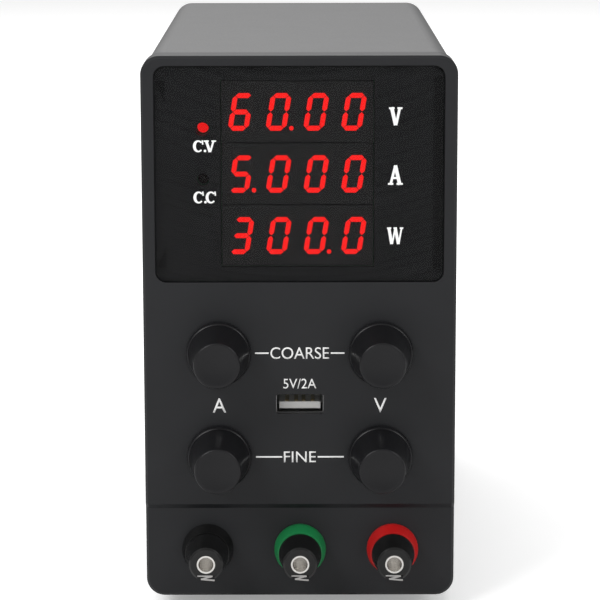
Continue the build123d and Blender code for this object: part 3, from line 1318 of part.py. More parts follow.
# Rocker: round-ended key on two pins, pressed in at its upper end, which is the on position
with BuildPart() as switch_rocker:
    with BuildSketch(side_on(SWITCH_X)):
        with BuildLine():
            rise = math.radians(ROCKER_RISE_ANGLE)
            fall = math.asin(ROCKER_KEEL / ROCKER_RADIUS)
            crown = (ROCKER_RADIUS * math.sin(rise), ROCKER_RADIUS * math.cos(rise))
            keel = (-ROCKER_KEEL, ROCKER_RADIUS * math.cos(fall))
            Line((ROCKER_DIP, 0), crown)
            ThreePointArc(crown, (0, ROCKER_RADIUS), keel)
            Line(keel, (keel[0], -keel[1]))
            ThreePointArc((keel[0], -keel[1]), (0, -ROCKER_RADIUS), (crown[0], -crown[1]))
            Line((crown[0], -crown[1]), (ROCKER_DIP, 0))
        make_face()
    extrude(amount=ROCKER_WIDTH / 2, both=True)
    with BuildSketch(side_on(SWITCH_X)):
        Circle(ROCKER_PIN / 2)
    extrude(amount=ROCKER_WIDTH / 2 + ROCKER_PIN_LENGTH, both=True)
tilted = Location((0, ROCKER_Y, SWITCH_Z)) * Location((0, 0, 0), (ROCKER_TILT, 0, 0))
save(switch_rocker.part.moved(tilted), "switch_rocker")

# Voltage selector: body with a lipped window, and the slider under the lip
with BuildPart() as selector_body:
    with BuildSketch(facing(SELECTOR_FACE)):
        with Locations((SELECTOR_X, SELECTOR_Z)):
            RectangleRounded(SELECTOR_WIDTH, SELECTOR_HEIGHT, CORNER)
    extrude(amount=SELECTOR_FLANGE)
    with BuildSketch(facing(PANEL_OUT)):
        with Locations((SELECTOR_X, SELECTOR_Z)):
            Rectangle(SELECTOR_BODY_WIDTH, SELECTOR_BODY_HEIGHT)
    extrude(amount=SELECTOR_BODY_DEPTH)
    with BuildSketch(facing(SELECTOR_FACE)):
        with Locations((SELECTOR_X, SELECTOR_Z)):
            Rectangle(
                SLIDER_WIDTH + SELECTOR_TRAVEL + 2 * SLIDE_GAP, SLIDER_HEIGHT + 2 * SLIDE_GAP
            )
    extrude(amount=SELECTOR_LIP, mode=Mode.SUBTRACT)
    with BuildSketch(facing(SELECTOR_FACE - SELECTOR_LIP)):
        with Locations((SELECTOR_X, SELECTOR_Z)):
            Rectangle(
                SLIDER_FOOT_WIDTH + SELECTOR_TRAVEL + 2 * SLIDE_GAP,
                SLIDER_FOOT_HEIGHT + 2 * SLIDE_GAP,
            )
    extrude(amount=SLIDER_FOOT + 2 * SLIDE_GAP, mode=Mode.SUBTRACT)
save(selector_body.part, "selector_body")

SLIDER_X = SELECTOR_X - SELECTOR_TRAVEL / 2
FOOT_TOP = SELECTOR_FACE - SELECTOR_LIP - SLIDE_GAP
SLIDER_TOP = SELECTOR_FACE - SLIDER_SINK
with BuildPart() as selector_slider:
    with BuildSketch(facing(FOOT_TOP)):
        with Locations((SLIDER_X, SELECTOR_Z)):
            Rectangle(SLIDER_FOOT_WIDTH, SLIDER_FOOT_HEIGHT)
    extrude(amount=SLIDER_FOOT)
    with BuildSketch(facing(FOOT_TOP)):
        with Locations((SLIDER_X, SELECTOR_Z)):
            Rectangle(SLIDER_WIDTH, SLIDER_HEIGHT)
    extrude(amount=-(SLIDER_TOP - FOOT_TOP))
    with BuildSketch(facing(SLIDER_TOP)):
        with Locations((SLIDER_X, SELECTOR_Z)):
            Rectangle(SLIDER_GROOVE, SLIDER_HEIGHT + 1)
    extrude(amount=SLIDER_TOP - FOOT_TOP, mode=Mode.SUBTRACT)
save(selector_slider.part, "selector_slider")
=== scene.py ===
"""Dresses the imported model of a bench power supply: numbers, lettering, knobs, posts, finishes and stage."""

import math

import bmesh
import bpy
import numpy as np
from mathutils import Matrix, Vector


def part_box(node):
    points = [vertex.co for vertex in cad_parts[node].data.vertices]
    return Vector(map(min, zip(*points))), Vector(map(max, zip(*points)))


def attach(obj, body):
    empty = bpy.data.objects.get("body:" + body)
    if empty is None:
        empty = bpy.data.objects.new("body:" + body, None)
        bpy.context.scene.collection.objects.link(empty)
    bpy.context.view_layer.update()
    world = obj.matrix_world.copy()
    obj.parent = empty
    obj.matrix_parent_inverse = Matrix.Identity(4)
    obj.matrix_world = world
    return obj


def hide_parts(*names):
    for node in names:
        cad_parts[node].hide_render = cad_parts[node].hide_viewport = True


bl_info = {
    "name": "Bench Power Supply",
    "version": (1, 0, 0),
    "blender": (4, 5, 0),
    "location": "View3D > Sidebar > Bench Supply",
    "description": "Builds the visible pieces and finishes of a bench power supply on its packed model",
    "category": "Object",
}

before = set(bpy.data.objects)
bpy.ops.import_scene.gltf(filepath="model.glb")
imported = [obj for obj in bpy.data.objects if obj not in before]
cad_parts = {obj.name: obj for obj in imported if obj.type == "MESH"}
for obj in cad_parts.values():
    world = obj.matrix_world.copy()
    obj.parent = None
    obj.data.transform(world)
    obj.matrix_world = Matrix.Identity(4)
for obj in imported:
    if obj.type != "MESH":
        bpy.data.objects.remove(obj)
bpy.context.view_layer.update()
MM = 0.001
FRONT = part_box("front_bezel")[0].y
PANE_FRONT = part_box("display_window")[0].y
PANEL_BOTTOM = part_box("front_bezel")[0].z
KNOBS = ("current_coarse", "voltage_coarse", "current_fine", "voltage_fine")
POSTS = ("black", "green", "red")


def node_centre(node):
    """Middle of a CAD node's box as x, z."""
    low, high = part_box(node)
    return (low.x + high.x) / 2, (low.z + high.z) / 2


# Shapes


def quads(rows, columns, close_rows=False, close_columns=False):
    """Quads of a grid numbered row by row: each joins a point, the next in its row and the two below."""
    r = np.arange(rows if close_rows else rows - 1)
    c = np.arange(columns if close_columns else columns - 1)
    r, c = np.meshgrid(r, c, indexing="ij")
    r2, c2 = (r + 1) % rows, (c + 1) % columns
    faces = np.stack([r * columns + c, r * columns + c2, r2 * columns + c2, r2 * columns + c], -1)
    return faces.reshape(-1, 4)


def add_piece(name, points, faces, body, made, sharp=35.0):
    """Mesh object with the finish made: doubles merged, faces outwards, smooth up to the sharp angle."""
    mesh = bpy.data.meshes.new(name)
    mesh.from_pydata(np.asarray(points, float).reshape(-1, 3).tolist(), [], [list(f) for f in faces])
    work = bmesh.new()
    work.from_mesh(mesh)
    bmesh.ops.remove_doubles(work, verts=work.verts, dist=1e-7)
    bmesh.ops.dissolve_degenerate(work, edges=work.edges, dist=1e-7)
    bmesh.ops.recalc_face_normals(work, faces=work.faces)
    work.to_mesh(mesh)
    work.free()
    mesh.polygons.foreach_set("use_smooth", np.ones(len(mesh.polygons), bool))
    mesh.set_sharp_from_angle(angle=math.radians(sharp))
    mesh.materials.append(made)
    piece = bpy.data.objects.new(name, mesh)
    bpy.context.scene.collection.objects.link(piece)
    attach(piece, body)
    return piece


def turned(profile, centre, segments):
    """Surface of revolution about a front-to-back axis through centre.

    A profile point (r, y) at angle a goes to (x + r cos a, y, z + r sin a); the profile is a closed loop.
    """
    r, y = np.asarray(profile, float).T
    a = np.linspace(0, 2 * np.pi, segments, endpoint=False)[:, None]
    x = centre[0] + r * np.cos(a)
    z = centre[1] + r * np.sin(a)
    points = np.stack([x, np.broadcast_to(y, x.shape), z], -1)
    return points, quads(segments, len(r), True, True)


def arc(centre, radius, start, end, steps):
    """Points of an arc: centre + radius (cos t, sin t), t from start to end in degrees."""
    t = np.radians(np.linspace(start, end, steps))
    return np.stack([centre[0] + radius * np.cos(t), centre[1] + radius * np.sin(t)], -1)


def joined(*runs):
    """One profile from several runs of points."""
    return np.concatenate([np.atleast_2d(np.asarray(run, float)) for run in runs])


def prisms(outlines, back, front):
    """Flat solids from outlines of equal length: (k, n, 2) outlines in x and z, each from back to front."""
    outlines = np.asarray(outlines, float)
    k, n, _ = outlines.shape
    depth = np.broadcast_to(np.array([back, front])[None, :, None], (k, 2, n))
    x = np.broadcast_to(outlines[:, None, :, 0], (k, 2, n))
    z = np.broadcast_to(outlines[:, None, :, 1], (k, 2, n))
    points = np.stack([x, depth, z], -1)
    start = (np.arange(k) * 2 * n)[:, None]
    faces = [list(row) for row in start + np.arange(n)[::-1]]
    faces += [list(row) for row in start + n + np.arange(n)]
    side = np.stack([np.arange(n), (np.arange(n) + 1) % n], -1)
    side = np.concatenate([side, side[:, ::-1] + n], -1)
    faces += (start[:, :, None] + side[None]).reshape(-1, 4).tolist()
    return points.reshape(-1, 3), faces


def ribbon(line, widths):
    """Outline of a stroke: each point of the line moved to both sides, across the line, by half its width."""
    line = np.asarray(line, float)
    along = np.gradient(line, axis=0)
    along /= np.linalg.norm(along, axis=1, keepdims=True)
    across = np.stack([-along[:, 1], along[:, 0]], -1) * (np.broadcast_to(widths, len(line))[:, None] / 2)
    return np.concatenate([line + across, (line - across)[::-1]])


# Finishes

TINT_SCALE = 60.0
GLOSS_SWING = 0.06
BUMP_STRENGTH = 0.6
SCRATCH_SCALE = 120.0
SCRATCH_DEPTH = 0.01 * MM


def finish(name, colour, roughness=0.5, metallic=0.0, grain=0.0, grain_size=0.3, mottle=0.12, **sockets):
    """Principled material whose colour, roughness and surface vary by noise in Object coordinates.

    grain is the bump's height in mm at features of grain_size mm, and mottle the share by which the colour
    varies. Further sockets are given by their names, with _ for each space.
    """
    made = bpy.data.materials.new(name)
    made.use_nodes = True
    tree = made.node_tree
    shader = tree.nodes["Principled BSDF"]
    coordinates = tree.nodes.new("ShaderNodeTexCoord")
    broad = tree.nodes.new("ShaderNodeTexNoise")
    broad.inputs["Scale"].default_value = TINT_SCALE
    broad.inputs["Detail"].default_value = 6.0
    fine = tree.nodes.new("ShaderNodeTexNoise")
    fine.inputs["Scale"].default_value = 1.0 / (grain_size * MM)
    fine.inputs["Detail"].default_value = 3.0
    tree.links.new(coordinates.outputs["Object"], broad.inputs["Vector"])
    tree.links.new(coordinates.outputs["Object"], fine.inputs["Vector"])
    tint = tree.nodes.new("ShaderNodeValToRGB")
    tint.color_ramp.elements[0].position = 0.3
    tint.color_ramp.elements[1].position = 0.7
    tint.color_ramp.elements[0].color = (*[c * (1 - mottle) for c in colour[:3]], 1)
    tint.color_ramp.elements[1].color = (*[min(1, c * (1 + mottle)) for c in colour[:3]], 1)
    tree.links.new(broad.outputs["Fac"], tint.inputs["Fac"])
    tree.links.new(tint.outputs["Color"], shader.inputs["Base Color"])
    gloss = tree.nodes.new("ShaderNodeMapRange")
    gloss.inputs["To Min"].default_value = max(0.02, roughness - GLOSS_SWING)
    gloss.inputs["To Max"].default_value = min(1.0, roughness + GLOSS_SWING)
    tree.links.new(fine.outputs["Fac"], gloss.inputs["Value"])
    tree.links.new(gloss.outputs["Result"], shader.inputs["Roughness"])
    if grain:
        bump = tree.nodes.new("ShaderNodeBump")
        bump.inputs["Strength"].default_value = BUMP_STRENGTH
        bump.inputs["Distance"].default_value = grain * MM
        tree.links.new(fine.outputs["Fac"], bump.inputs["Height"])
        tree.links.new(bump.outputs["Normal"], shader.inputs["Normal"])
    shader.inputs["Metallic"].default_value = metallic
    for socket, value in sockets.items():
        shader.inputs[socket.replace("_", " ")].default_value = value
    return made


def brushed(name, colour, roughness, direction=(1.0, 60.0, 1.0)):
    """Metal with fine scratches: noise stretched along one direction makes the bump, and the finish's finer
    noise varies roughness.
    """
    made = finish(name, colour, roughness, 1.0, 0.0, 0.3, 0.06)
    tree = made.node_tree
    coordinates = tree.nodes.new("ShaderNodeTexCoord")
    stretch = tree.nodes.new("ShaderNodeMapping")
    stretch.inputs["Scale"].default_value = direction
    scratches = tree.nodes.new("ShaderNodeTexNoise")
    scratches.inputs["Scale"].default_value = SCRATCH_SCALE
    bump = tree.nodes.new("ShaderNodeBump")
    bump.inputs["Distance"].default_value = SCRATCH_DEPTH
    tree.links.new(coordinates.outputs["Object"], stretch.inputs["Vector"])
    tree.links.new(stretch.outputs["Vector"], scratches.inputs["Vector"])
    tree.links.new(scratches.outputs["Fac"], bump.inputs["Height"])
    tree.links.new(bump.outputs["Normal"], tree.nodes["Principled BSDF"].inputs["Normal"])
    return made


def glowing(name, colour, strength):
    """Lit plastic: its own light, a little uneven across the bar."""
    made = finish(name, colour, 0.4, 0.0, 0.0, 0.5, 0.05)
    shader = made.node_tree.nodes["Principled BSDF"]
    shader.inputs["Emission Color"].default_value = (*colour, 1)
    shader.inputs["Emission Strength"].default_value = strength
    return made


def dress(nodes, made):
    """Gives CAD nodes a finish in place of the plain one."""
    for node in nodes:
        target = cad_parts[node]
        target.data.materials.clear()
        target.data.materials.append(made)


# Sizes and colours that a user would change


class BenchSupplyFront(bpy.types.PropertyGroup):
    digit_height: bpy.props.FloatProperty(
        name="Digit Height", description="Height of a number", default=10.0 * MM, unit="LENGTH"
    )
    digit_width: bpy.props.FloatProperty(
        name="Digit Width", description="Width of a number before it leans", default=5.5 * MM, unit="LENGTH"
    )
    digit_pitch: bpy.props.FloatProperty(
        name="Digit Pitch", description="Distance between numbers", default=10.0 * MM, unit="LENGTH"
    )
    bar_width: bpy.props.FloatProperty(
        name="Bar Width", description="Width of a number's light bar", default=1.3 * MM, unit="LENGTH"
    )
    bar_gap: bpy.props.FloatProperty(
        name="Bar Gap", description="Gap between two light bars", default=0.22 * MM, unit="LENGTH"
    )
    slant: bpy.props.FloatProperty(
        name="Slant", description="How far the numbers lean", default=math.radians(9.5), subtype="ANGLE"
    )
    point_radius: bpy.props.FloatProperty(
        name="Point Radius", description="Radius of a decimal point", default=0.6 * MM, unit="LENGTH"
    )
    point_offset: bpy.props.FloatProperty(
        name="Point Offset",
        description="From a number's middle to its point",
        default=3.4 * MM,
        unit="LENGTH",
    )
    upper_row: bpy.props.StringProperty(
        name="Volts", description="Numbers in the upper row", default="60.00"
    )
    middle_row: bpy.props.StringProperty(
        name="Amperes", description="Numbers in the middle row", default="5.000"
    )
    lower_row: bpy.props.StringProperty(
        name="Watts", description="Numbers in the lower row", default="300.0"
    )
    glow: bpy.props.FloatVectorProperty(
        name="Glow", description="Colour of the lit bars", default=(1.0, 0.004, 0.002), subtype="COLOR"
    )
    glow_strength: bpy.props.FloatProperty(
        name="Glow Strength", description="Brightness of the lit bars", default=1.35, min=0.0
    )
    ink: bpy.props.FloatVectorProperty(
        name="Ink", description="Colour of the lettering", default=(0.86, 0.86, 0.85), subtype="COLOR"
    )
    ink_height: bpy.props.FloatProperty(
        name="Ink Height", description="Thickness of the printed lettering", default=0.05 * MM, unit="LENGTH"
    )
    ink_step: bpy.props.FloatProperty(
        name="Ink Step",
        description="How much higher each stroke of a letter is than the one before",
        default=0.002 * MM,
        unit="LENGTH",
    )


class BenchSupplyCase(bpy.types.PropertyGroup):
    bezel_colour: bpy.props.FloatVectorProperty(
        name="Bezel",
        description="Colour of the front moulding",
        default=(0.0095, 0.01, 0.0115),
        subtype="COLOR",
    )
    paint_colour: bpy.props.FloatVectorProperty(
        name="Paint", description="Colour of the steel case", default=(0.055, 0.055, 0.056), subtype="COLOR"
    )
    pane_colour: bpy.props.FloatVectorProperty(
        name="Pane", description="Colour of the smoked window", default=(0.006, 0.006, 0.006), subtype="COLOR"
    )
    pane_alpha: bpy.props.FloatProperty(
        name="Pane Darkness",
        description="How much of what is behind the window it hides",
        default=0.3,
        subtype="FACTOR",
    )


class BenchSupplyKnobs(bpy.types.PropertyGroup):
    skirt: bpy.props.FloatProperty(
        name="Skirt", description="Height of the knob's straight rim", default=1.2 * MM, unit="LENGTH"
    )
    shoulder: bpy.props.FloatProperty(
        name="Shoulder", description="Rounding of the rim into the cone", default=0.9 * MM, unit="LENGTH"
    )
    face: bpy.props.FloatProperty(
        name="Face", description="Diameter of the knob's face", default=12.4 * MM, unit="LENGTH"
    )
    edge: bpy.props.FloatProperty(
        name="Edge", description="Rounding of the face's rim", default=0.6 * MM, unit="LENGTH"
    )
    dish: bpy.props.FloatProperty(
        name="Dish", description="How deep the face is dished", default=0.5 * MM, unit="LENGTH"
    )
    hollow: bpy.props.FloatProperty(
        name="Hollow", description="Diameter of the hollow over the nut", default=13.6 * MM, unit="LENGTH"
    )
    hollow_depth: bpy.props.FloatProperty(
        name="Hollow Depth", description="Depth of the hollow over the nut", default=3.0 * MM, unit="LENGTH"
    )
    well: bpy.props.FloatProperty(
        name="Well", description="Diameter of the well over the bushing", default=7.8 * MM, unit="LENGTH"
    )
    well_depth: bpy.props.FloatProperty(
        name="Well Depth",
        description="Depth of the well from the knob's back",
        default=6.0 * MM,
        unit="LENGTH",
    )
    bore_gap: bpy.props.FloatProperty(
        name="Bore Gap", description="Gap all round the shaft", default=0.02 * MM, unit="LENGTH"
    )
    bore_end: bpy.props.FloatProperty(
        name="Bore End", description="Gap before the shaft's front end", default=0.1 * MM, unit="LENGTH"
    )
    lip: bpy.props.FloatProperty(
        name="Lip", description="Bevel of the rim's back edge", default=0.25 * MM, unit="LENGTH"
    )
    colour: bpy.props.FloatVectorProperty(
        name="Colour", description="Colour of the knobs", default=(0.008, 0.008, 0.009), subtype="COLOR"
    )


class BenchSupplyPosts(bpy.types.PropertyGroup):
    clip_width: bpy.props.FloatProperty(
        name="Clip Width",
        description="Width of the bright clip in the cap's notch",
        default=4.6 * MM,
        unit="LENGTH",
    )
    clip_height: bpy.props.FloatProperty(
        name="Clip Height", description="Height of the clip", default=1.3 * MM, unit="LENGTH"
    )
    clip_strip: bpy.props.FloatProperty(
        name="Clip Strip", description="Width of the clip's strip", default=0.42 * MM, unit="LENGTH"
    )
    clip_drop: bpy.props.FloatProperty(
        name="Clip Drop",
        description="From the post's middle down to the clip's",
        default=3.8 * MM,
        unit="LENGTH",
    )
    clip_inset: bpy.props.FloatProperty(
        name="Clip Inset",
        description="How far the clip lies behind the cap's face",
        default=0.3 * MM,
        unit="LENGTH",
    )
    clip_thickness: bpy.props.FloatProperty(
        name="Clip Thickness", description="Thickness of the clip's strip", default=0.3 * MM, unit="LENGTH"
    )
    clip_step: bpy.props.FloatProperty(
        name="Clip Step",
        description="How much deeper each run of the clip lies than the one before",
        default=0.05 * MM,
        unit="LENGTH",
    )
    green: bpy.props.FloatVectorProperty(
        name="Green",
        description="Colour of the earth post's ring",
        default=(0.012, 0.24, 0.07),
        subtype="COLOR",
    )
    red: bpy.props.FloatVectorProperty(
        name="Red",
        description="Colour of the positive post's ring",
        default=(0.5, 0.008, 0.008),
        subtype="COLOR",
    )
    black: bpy.props.FloatVectorProperty(
        name="Black",
        description="Colour of the negative post and all caps",
        default=(0.007, 0.007, 0.007),
        subtype="COLOR",
    )


class BenchSupplyStage(bpy.types.PropertyGroup):
    lens: bpy.props.FloatProperty(
        name="Lens", description="Focal length", default=156.0, min=10.0, subtype="DISTANCE_CAMERA"
    )
    pitch: bpy.props.FloatProperty(
        name="Pitch",
        description="How far the camera looks down",
        default=math.radians(10.64),
        subtype="ANGLE",
    )
    roll: bpy.props.FloatProperty(
        name="Roll", description="How far the camera leans", default=math.radians(-0.11), subtype="ANGLE"
    )
    distance: bpy.props.FloatProperty(
        name="Distance", description="Camera to the front panel", default=684.6 * MM, unit="LENGTH"
    )
    height: bpy.props.FloatProperty(
        name="Height", description="Camera above the panel's bottom edge", default=210.85 * MM, unit="LENGTH"
    )
    aside: bpy.props.FloatProperty(
        name="Aside", description="Camera to the right of the middle", default=0.1 * MM, unit="LENGTH"
    )
    shift: bpy.props.FloatProperty(
        name="Shift",
        description="How far the camera's view is moved up, as a share of its width",
        default=1.42 / 600,
    )
    floor_size: bpy.props.FloatProperty(
        name="Floor", description="Side of the floor", default=6.0, unit="LENGTH"
    )
    floor_lift: bpy.props.FloatProperty(
        name="Floor Lift",
        description="Light added to the floor where the camera sees it",
        default=0.3,
        min=0.0,
    )
    soft_light: bpy.props.FloatProperty(
        name="Soft Light", description="Brightness of the light from all round", default=0.55, min=0.0
    )


GROUPS = {
    "supply_front": BenchSupplyFront,
    "supply_case": BenchSupplyCase,
    "supply_knobs": BenchSupplyKnobs,
    "supply_posts": BenchSupplyPosts,
    "supply_stage": BenchSupplyStage,
}

# Bars that each number lights: top, upper right, lower right, bottom, lower left, upper left, middle
LIT_BARS = {"0": "012345", "3": "01236", "5": "02356", "6": "023456"}


class SUPPLY_OT_case(bpy.types.Operator):
    """Finishes the moulded front, the steel case, its screws and its feet"""

    bl_idname = "supply.case"
    bl_label = "Case"

    def execute(self, context):
        sizes = context.scene.supply_case
        bezel = finish("bezel_plastic", sizes.bezel_colour, 0.5, 0, 0.02, 0.25, 0.1, Specular_IOR_Level=0.3)
        dress(["front_bezel"], bezel)
        paint = finish("case_paint", sizes.paint_colour, 0.55, 0, 0.02, 0.5, 0.05)
        dress(["cover", "chassis_tray", "rear_panel"], paint)
        dress(["case_screws", "fan_screws"], finish("screw_black", (0.02, 0.02, 0.02), 0.4, 0.8, 0.01, 0.4))
        dress(["rubber_feet"], finish("foot_rubber", (0.012, 0.012, 0.012), 0.85, 0, 0.03, 0.4))
        return {"FINISHED"}


class SUPPLY_OT_window(bpy.types.Operator):
    """Finishes the smoked window and what lies behind it"""

    bl_idname = "supply.window"
    bl_label = "Window"

    def execute(self, context):
        sizes = context.scene.supply_case
        smoke = {"Alpha": sizes.pane_alpha, "Specular_IOR_Level": 0.2}
        dress(["display_window"], finish("window_pane", sizes.pane_colour, 0.35, 0, 0, 60.0, 0.02, **smoke))
        dress(["display_modules"], finish("module_plastic", (0.0075, 0.0075, 0.0085), 0.6, 0, 0, 2.0, 0.05))
        return {"FINISHED"}


class SUPPLY_OT_numbers(bpy.types.Operator):
    """Makes the light bars of the three rows of numbers, lit and unlit"""

    bl_idname = "supply.numbers"
    bl_label = "Numbers"

    def execute(self, context):
        sizes = context.scene.supply_front
        low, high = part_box("display_modules")
        bars_low, bars_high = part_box("segment_bars")
        middle_x = (low.x + high.x) / 2
        middle_z = (low.z + high.z) / 2
        rise = (sizes.digit_height - sizes.bar_width) / 2
        side = (sizes.digit_width - sizes.bar_width) / 2
        row_step = (bars_high.z - bars_low.z - 2 * rise - sizes.bar_width) / 2

        # A bar is a long hexagon: w is half its width, and it ends in points at its reach from its middle
        w = sizes.bar_width / 2
        reach = rise / 2 - sizes.bar_gap / 2
        end = reach - w
        upright = np.array([(0, reach), (w, end), (w, -end), (0, -reach), (-w, -end), (-w, end)])
        reach = side - sizes.bar_gap / 2
        end = reach - w
        flat = np.array([(-reach, 0), (-end, w), (end, w), (reach, 0), (end, -w), (-end, -w)])
        shapes = [
            flat + (0, rise),
            upright + (side, rise / 2),
            upright + (side, -rise / 2),
            flat + (0, -rise),
            upright + (-side, -rise / 2),
            upright + (-side, rise / 2),
            flat,
        ]
        dot_turn = np.radians(np.arange(24) * 15)
        dot = sizes.point_radius * np.stack([np.cos(dot_turn), np.sin(dot_turn)], -1)
        lean = math.tan(sizes.slant)
        lit, unlit, dots_lit, dots_unlit = [], [], [], []
        for row, text in enumerate((sizes.upper_row, sizes.middle_row, sizes.lower_row)):
            z = middle_z + (1 - row) * row_step
            figures = text.replace(".", "")
            point = text.index(".") - 1
            for place, figure in enumerate(figures):
                x = middle_x + (place - 1.5) * sizes.digit_pitch
                for number, shape in enumerate(shapes):
                    leaning = shape + np.stack([shape[:, 1] * lean, 0 * shape[:, 1]], -1) + (x, z)
                    (lit if str(number) in LIT_BARS[figure] else unlit).append(leaning)
                spot = dot + (x + sizes.point_offset, z - rise)
                (dots_lit if place == point else dots_unlit).append(spot)
        on = glowing("segment_red", sizes.glow, sizes.glow_strength)
        off = finish("segment_dark", (0.011, 0.0095, 0.0105), 0.5, 0, 0, 0.3, 0.05)
        groups = (
            ("lit_bars", lit, on),
            ("lit_points", dots_lit, on),
            ("dark_bars", unlit, off),
            ("dark_points", dots_unlit, off),
        )
        for name, outlines, made in groups:
            piece = add_piece(name, *prisms(outlines, bars_high.y, bars_low.y), "housing", made)
            if name == "lit_bars":
                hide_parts("segment_bars")
        return {"FINISHED"}


class SUPPLY_OT_lamps(bpy.types.Operator):
    """Makes the two round indicator lamps"""

    bl_idname = "supply.lamps"
    bl_label = "Lamps"

    def execute(self, context):
        low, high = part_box("mode_leds")
        radius = (high.x - low.x) / 2
        x = (low.x + high.x) / 2
        lit = glowing("lamp_lit", (0.9, 0.006, 0.006), 1.6)
        unlit = finish("lamp_unlit", (0.03, 0.004, 0.004), 0.25, 0, 0, 0.4, 0.1)
        dome = arc((0, low.y + radius), radius, -90, 0, 14)
        profile = joined(dome, (radius, high.y), (0, high.y))
        upper = add_piece("lamp_upper", *turned(profile, (x, high.z - radius), 48), "housing", lit)
        lower = add_piece("lamp_lower", *turned(profile, (x, low.z + radius), 48), "housing", unlit)
        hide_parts("mode_leds")
        return {"FINISHED"}


def serif_v(width, height, thick, thin):
    """Strokes of a V with feet: heavy left leg, lighter right leg, a bar on each."""
    w, h = width / 2, height / 2
    foot = thin * 0.9
    return [
        ribbon([(-w * 0.62, h), (0, -h)], thick),
        ribbon([(w * 0.62, h), (thick * 0.1, -h)], thin * 1.25),
        ribbon([(-w, h - foot / 2), (-w * 0.18, h - foot / 2)], foot),
        ribbon([(w * 0.25, h - foot / 2), (w, h - foot / 2)], foot),
    ]


def serif_a(width, height, thick, thin):
    """Strokes of an A with feet: lighter left leg, heavy right leg, crossbar, a bar under each leg."""
    w, h = width / 2, height / 2
    foot = thin * 0.9
    return [
        ribbon([(-w * 0.66, -h), (0, h)], thin * 1.25),
        ribbon([(w * 0.6, -h), (-w * 0.02, h)], thick),
        ribbon([(-w * 0.45, -h * 0.3), (w * 0.4, -h * 0.3)], thin),
        ribbon([(-w, foot / 2 - h), (-w * 0.28, foot / 2 - h)], foot),
        ribbon([(w * 0.16, foot / 2 - h), (w, foot / 2 - h)], foot),
    ]


def serif_w(width, height, thick, thin):
    """Strokes of a W with feet: two heavy falling legs, two lighter rising legs, bars on top."""
    w, h = width / 2, height / 2
    foot = thin * 0.9
    return [
        ribbon([(-w * 0.78, h), (-w * 0.42, -h)], thick),
        ribbon([(-w * 0.36, -h), (w * 0.02, h)], thin),
        ribbon([(0, h), (w * 0.4, -h)], thick),
        ribbon([(w * 0.44, -h), (w * 0.8, h)], thin),
        ribbon([(-w, h - foot / 2), (-w * 0.48, h - foot / 2)], foot),
        ribbon([(-w * 0.2, h - foot / 2), (w * 0.22, h - foot / 2)], foot),
        ribbon([(w * 0.56, h - foot / 2), (w, h - foot / 2)], foot),
    ]


def serif_c(width, height, thick, thin):
    """Strokes of a C with a beak: an open ring whose width swells at its left."""
    t = np.radians(np.linspace(42, 318, 40))
    swell = thin + (thick - thin) * np.clip(-np.cos(t), 0, 1) ** 1.3
    line = np.stack([(width - thick) / 2 * np.cos(t), (height - thin) / 2 * np.sin(t)], -1)
    beak = [(width * 0.36, height * 0.5), (width * 0.4, height * 0.14)]
    return [ribbon(line, swell), ribbon(beak, thin * 0.9)]


def full_stop(width, height, thick, thin):
    """A round stop, whose thickness alone counts."""
    return [arc((0, 0), thick / 2, 0, 345, 24)]


# Letters made of strokes: name, maker, width, height, thick and thin stroke, middle x and z, in mm
STROKE_LETTERS = (
    ("letter_cv_c", serif_c, 2.9, 3.2, 0.78, 0.42, -26.75, 124.1),
    ("letter_cv_v", serif_v, 3.3, 3.1, 0.72, 0.4, -23.7, 124.1),
    ("letter_cc_c", serif_c, 2.9, 3.2, 0.78, 0.42, -26.75, 110.4),
    ("letter_cc_d", serif_c, 2.9, 3.2, 0.78, 0.42, -23.5, 110.4),
    ("letter_cv_point", full_stop, 0.7, 0.7, 0.7, 0.7, -25.0, 122.85),
    ("letter_cc_point", full_stop, 0.7, 0.7, 0.7, 0.7, -25.0, 109.15),
    ("letter_volts", serif_v, 3.55, 4.75, 0.95, 0.55, 25.5, 132.0),
    ("letter_amperes", serif_a, 3.95, 5.2, 0.95, 0.55, 25.5, 116.3),
    ("letter_watts", serif_w, 4.35, 4.5, 0.8, 0.45, 25.5, 100.0),
)

# Words in plain letters: name, words, middle x and z on the panel, width and height, in mm
WORDS = (
    ("word_coarse", "COARSE", 0.0, 68.1, 15.8, 3.2),
    ("word_fine", "FINE", 0.0, 39.4, 8.7, 3.0),
    ("word_charge", "5V/2A", 0.0, 59.7, 8.9, 2.7),
    ("letter_current", "A", -21.7, 53.7, 3.6, 3.97),
    ("letter_voltage", "V", 21.7, 53.7, 3.4, 3.97),
)

# Dashes at both sides of a word: name, start and end from the middle, z on the panel, in mm
DASHES = (("coarse", 8.35, 12.05, 68.1), ("fine", 4.8, 11.9, 39.4))
DASH_WIDTH = 0.4
INK_SHARP = 20


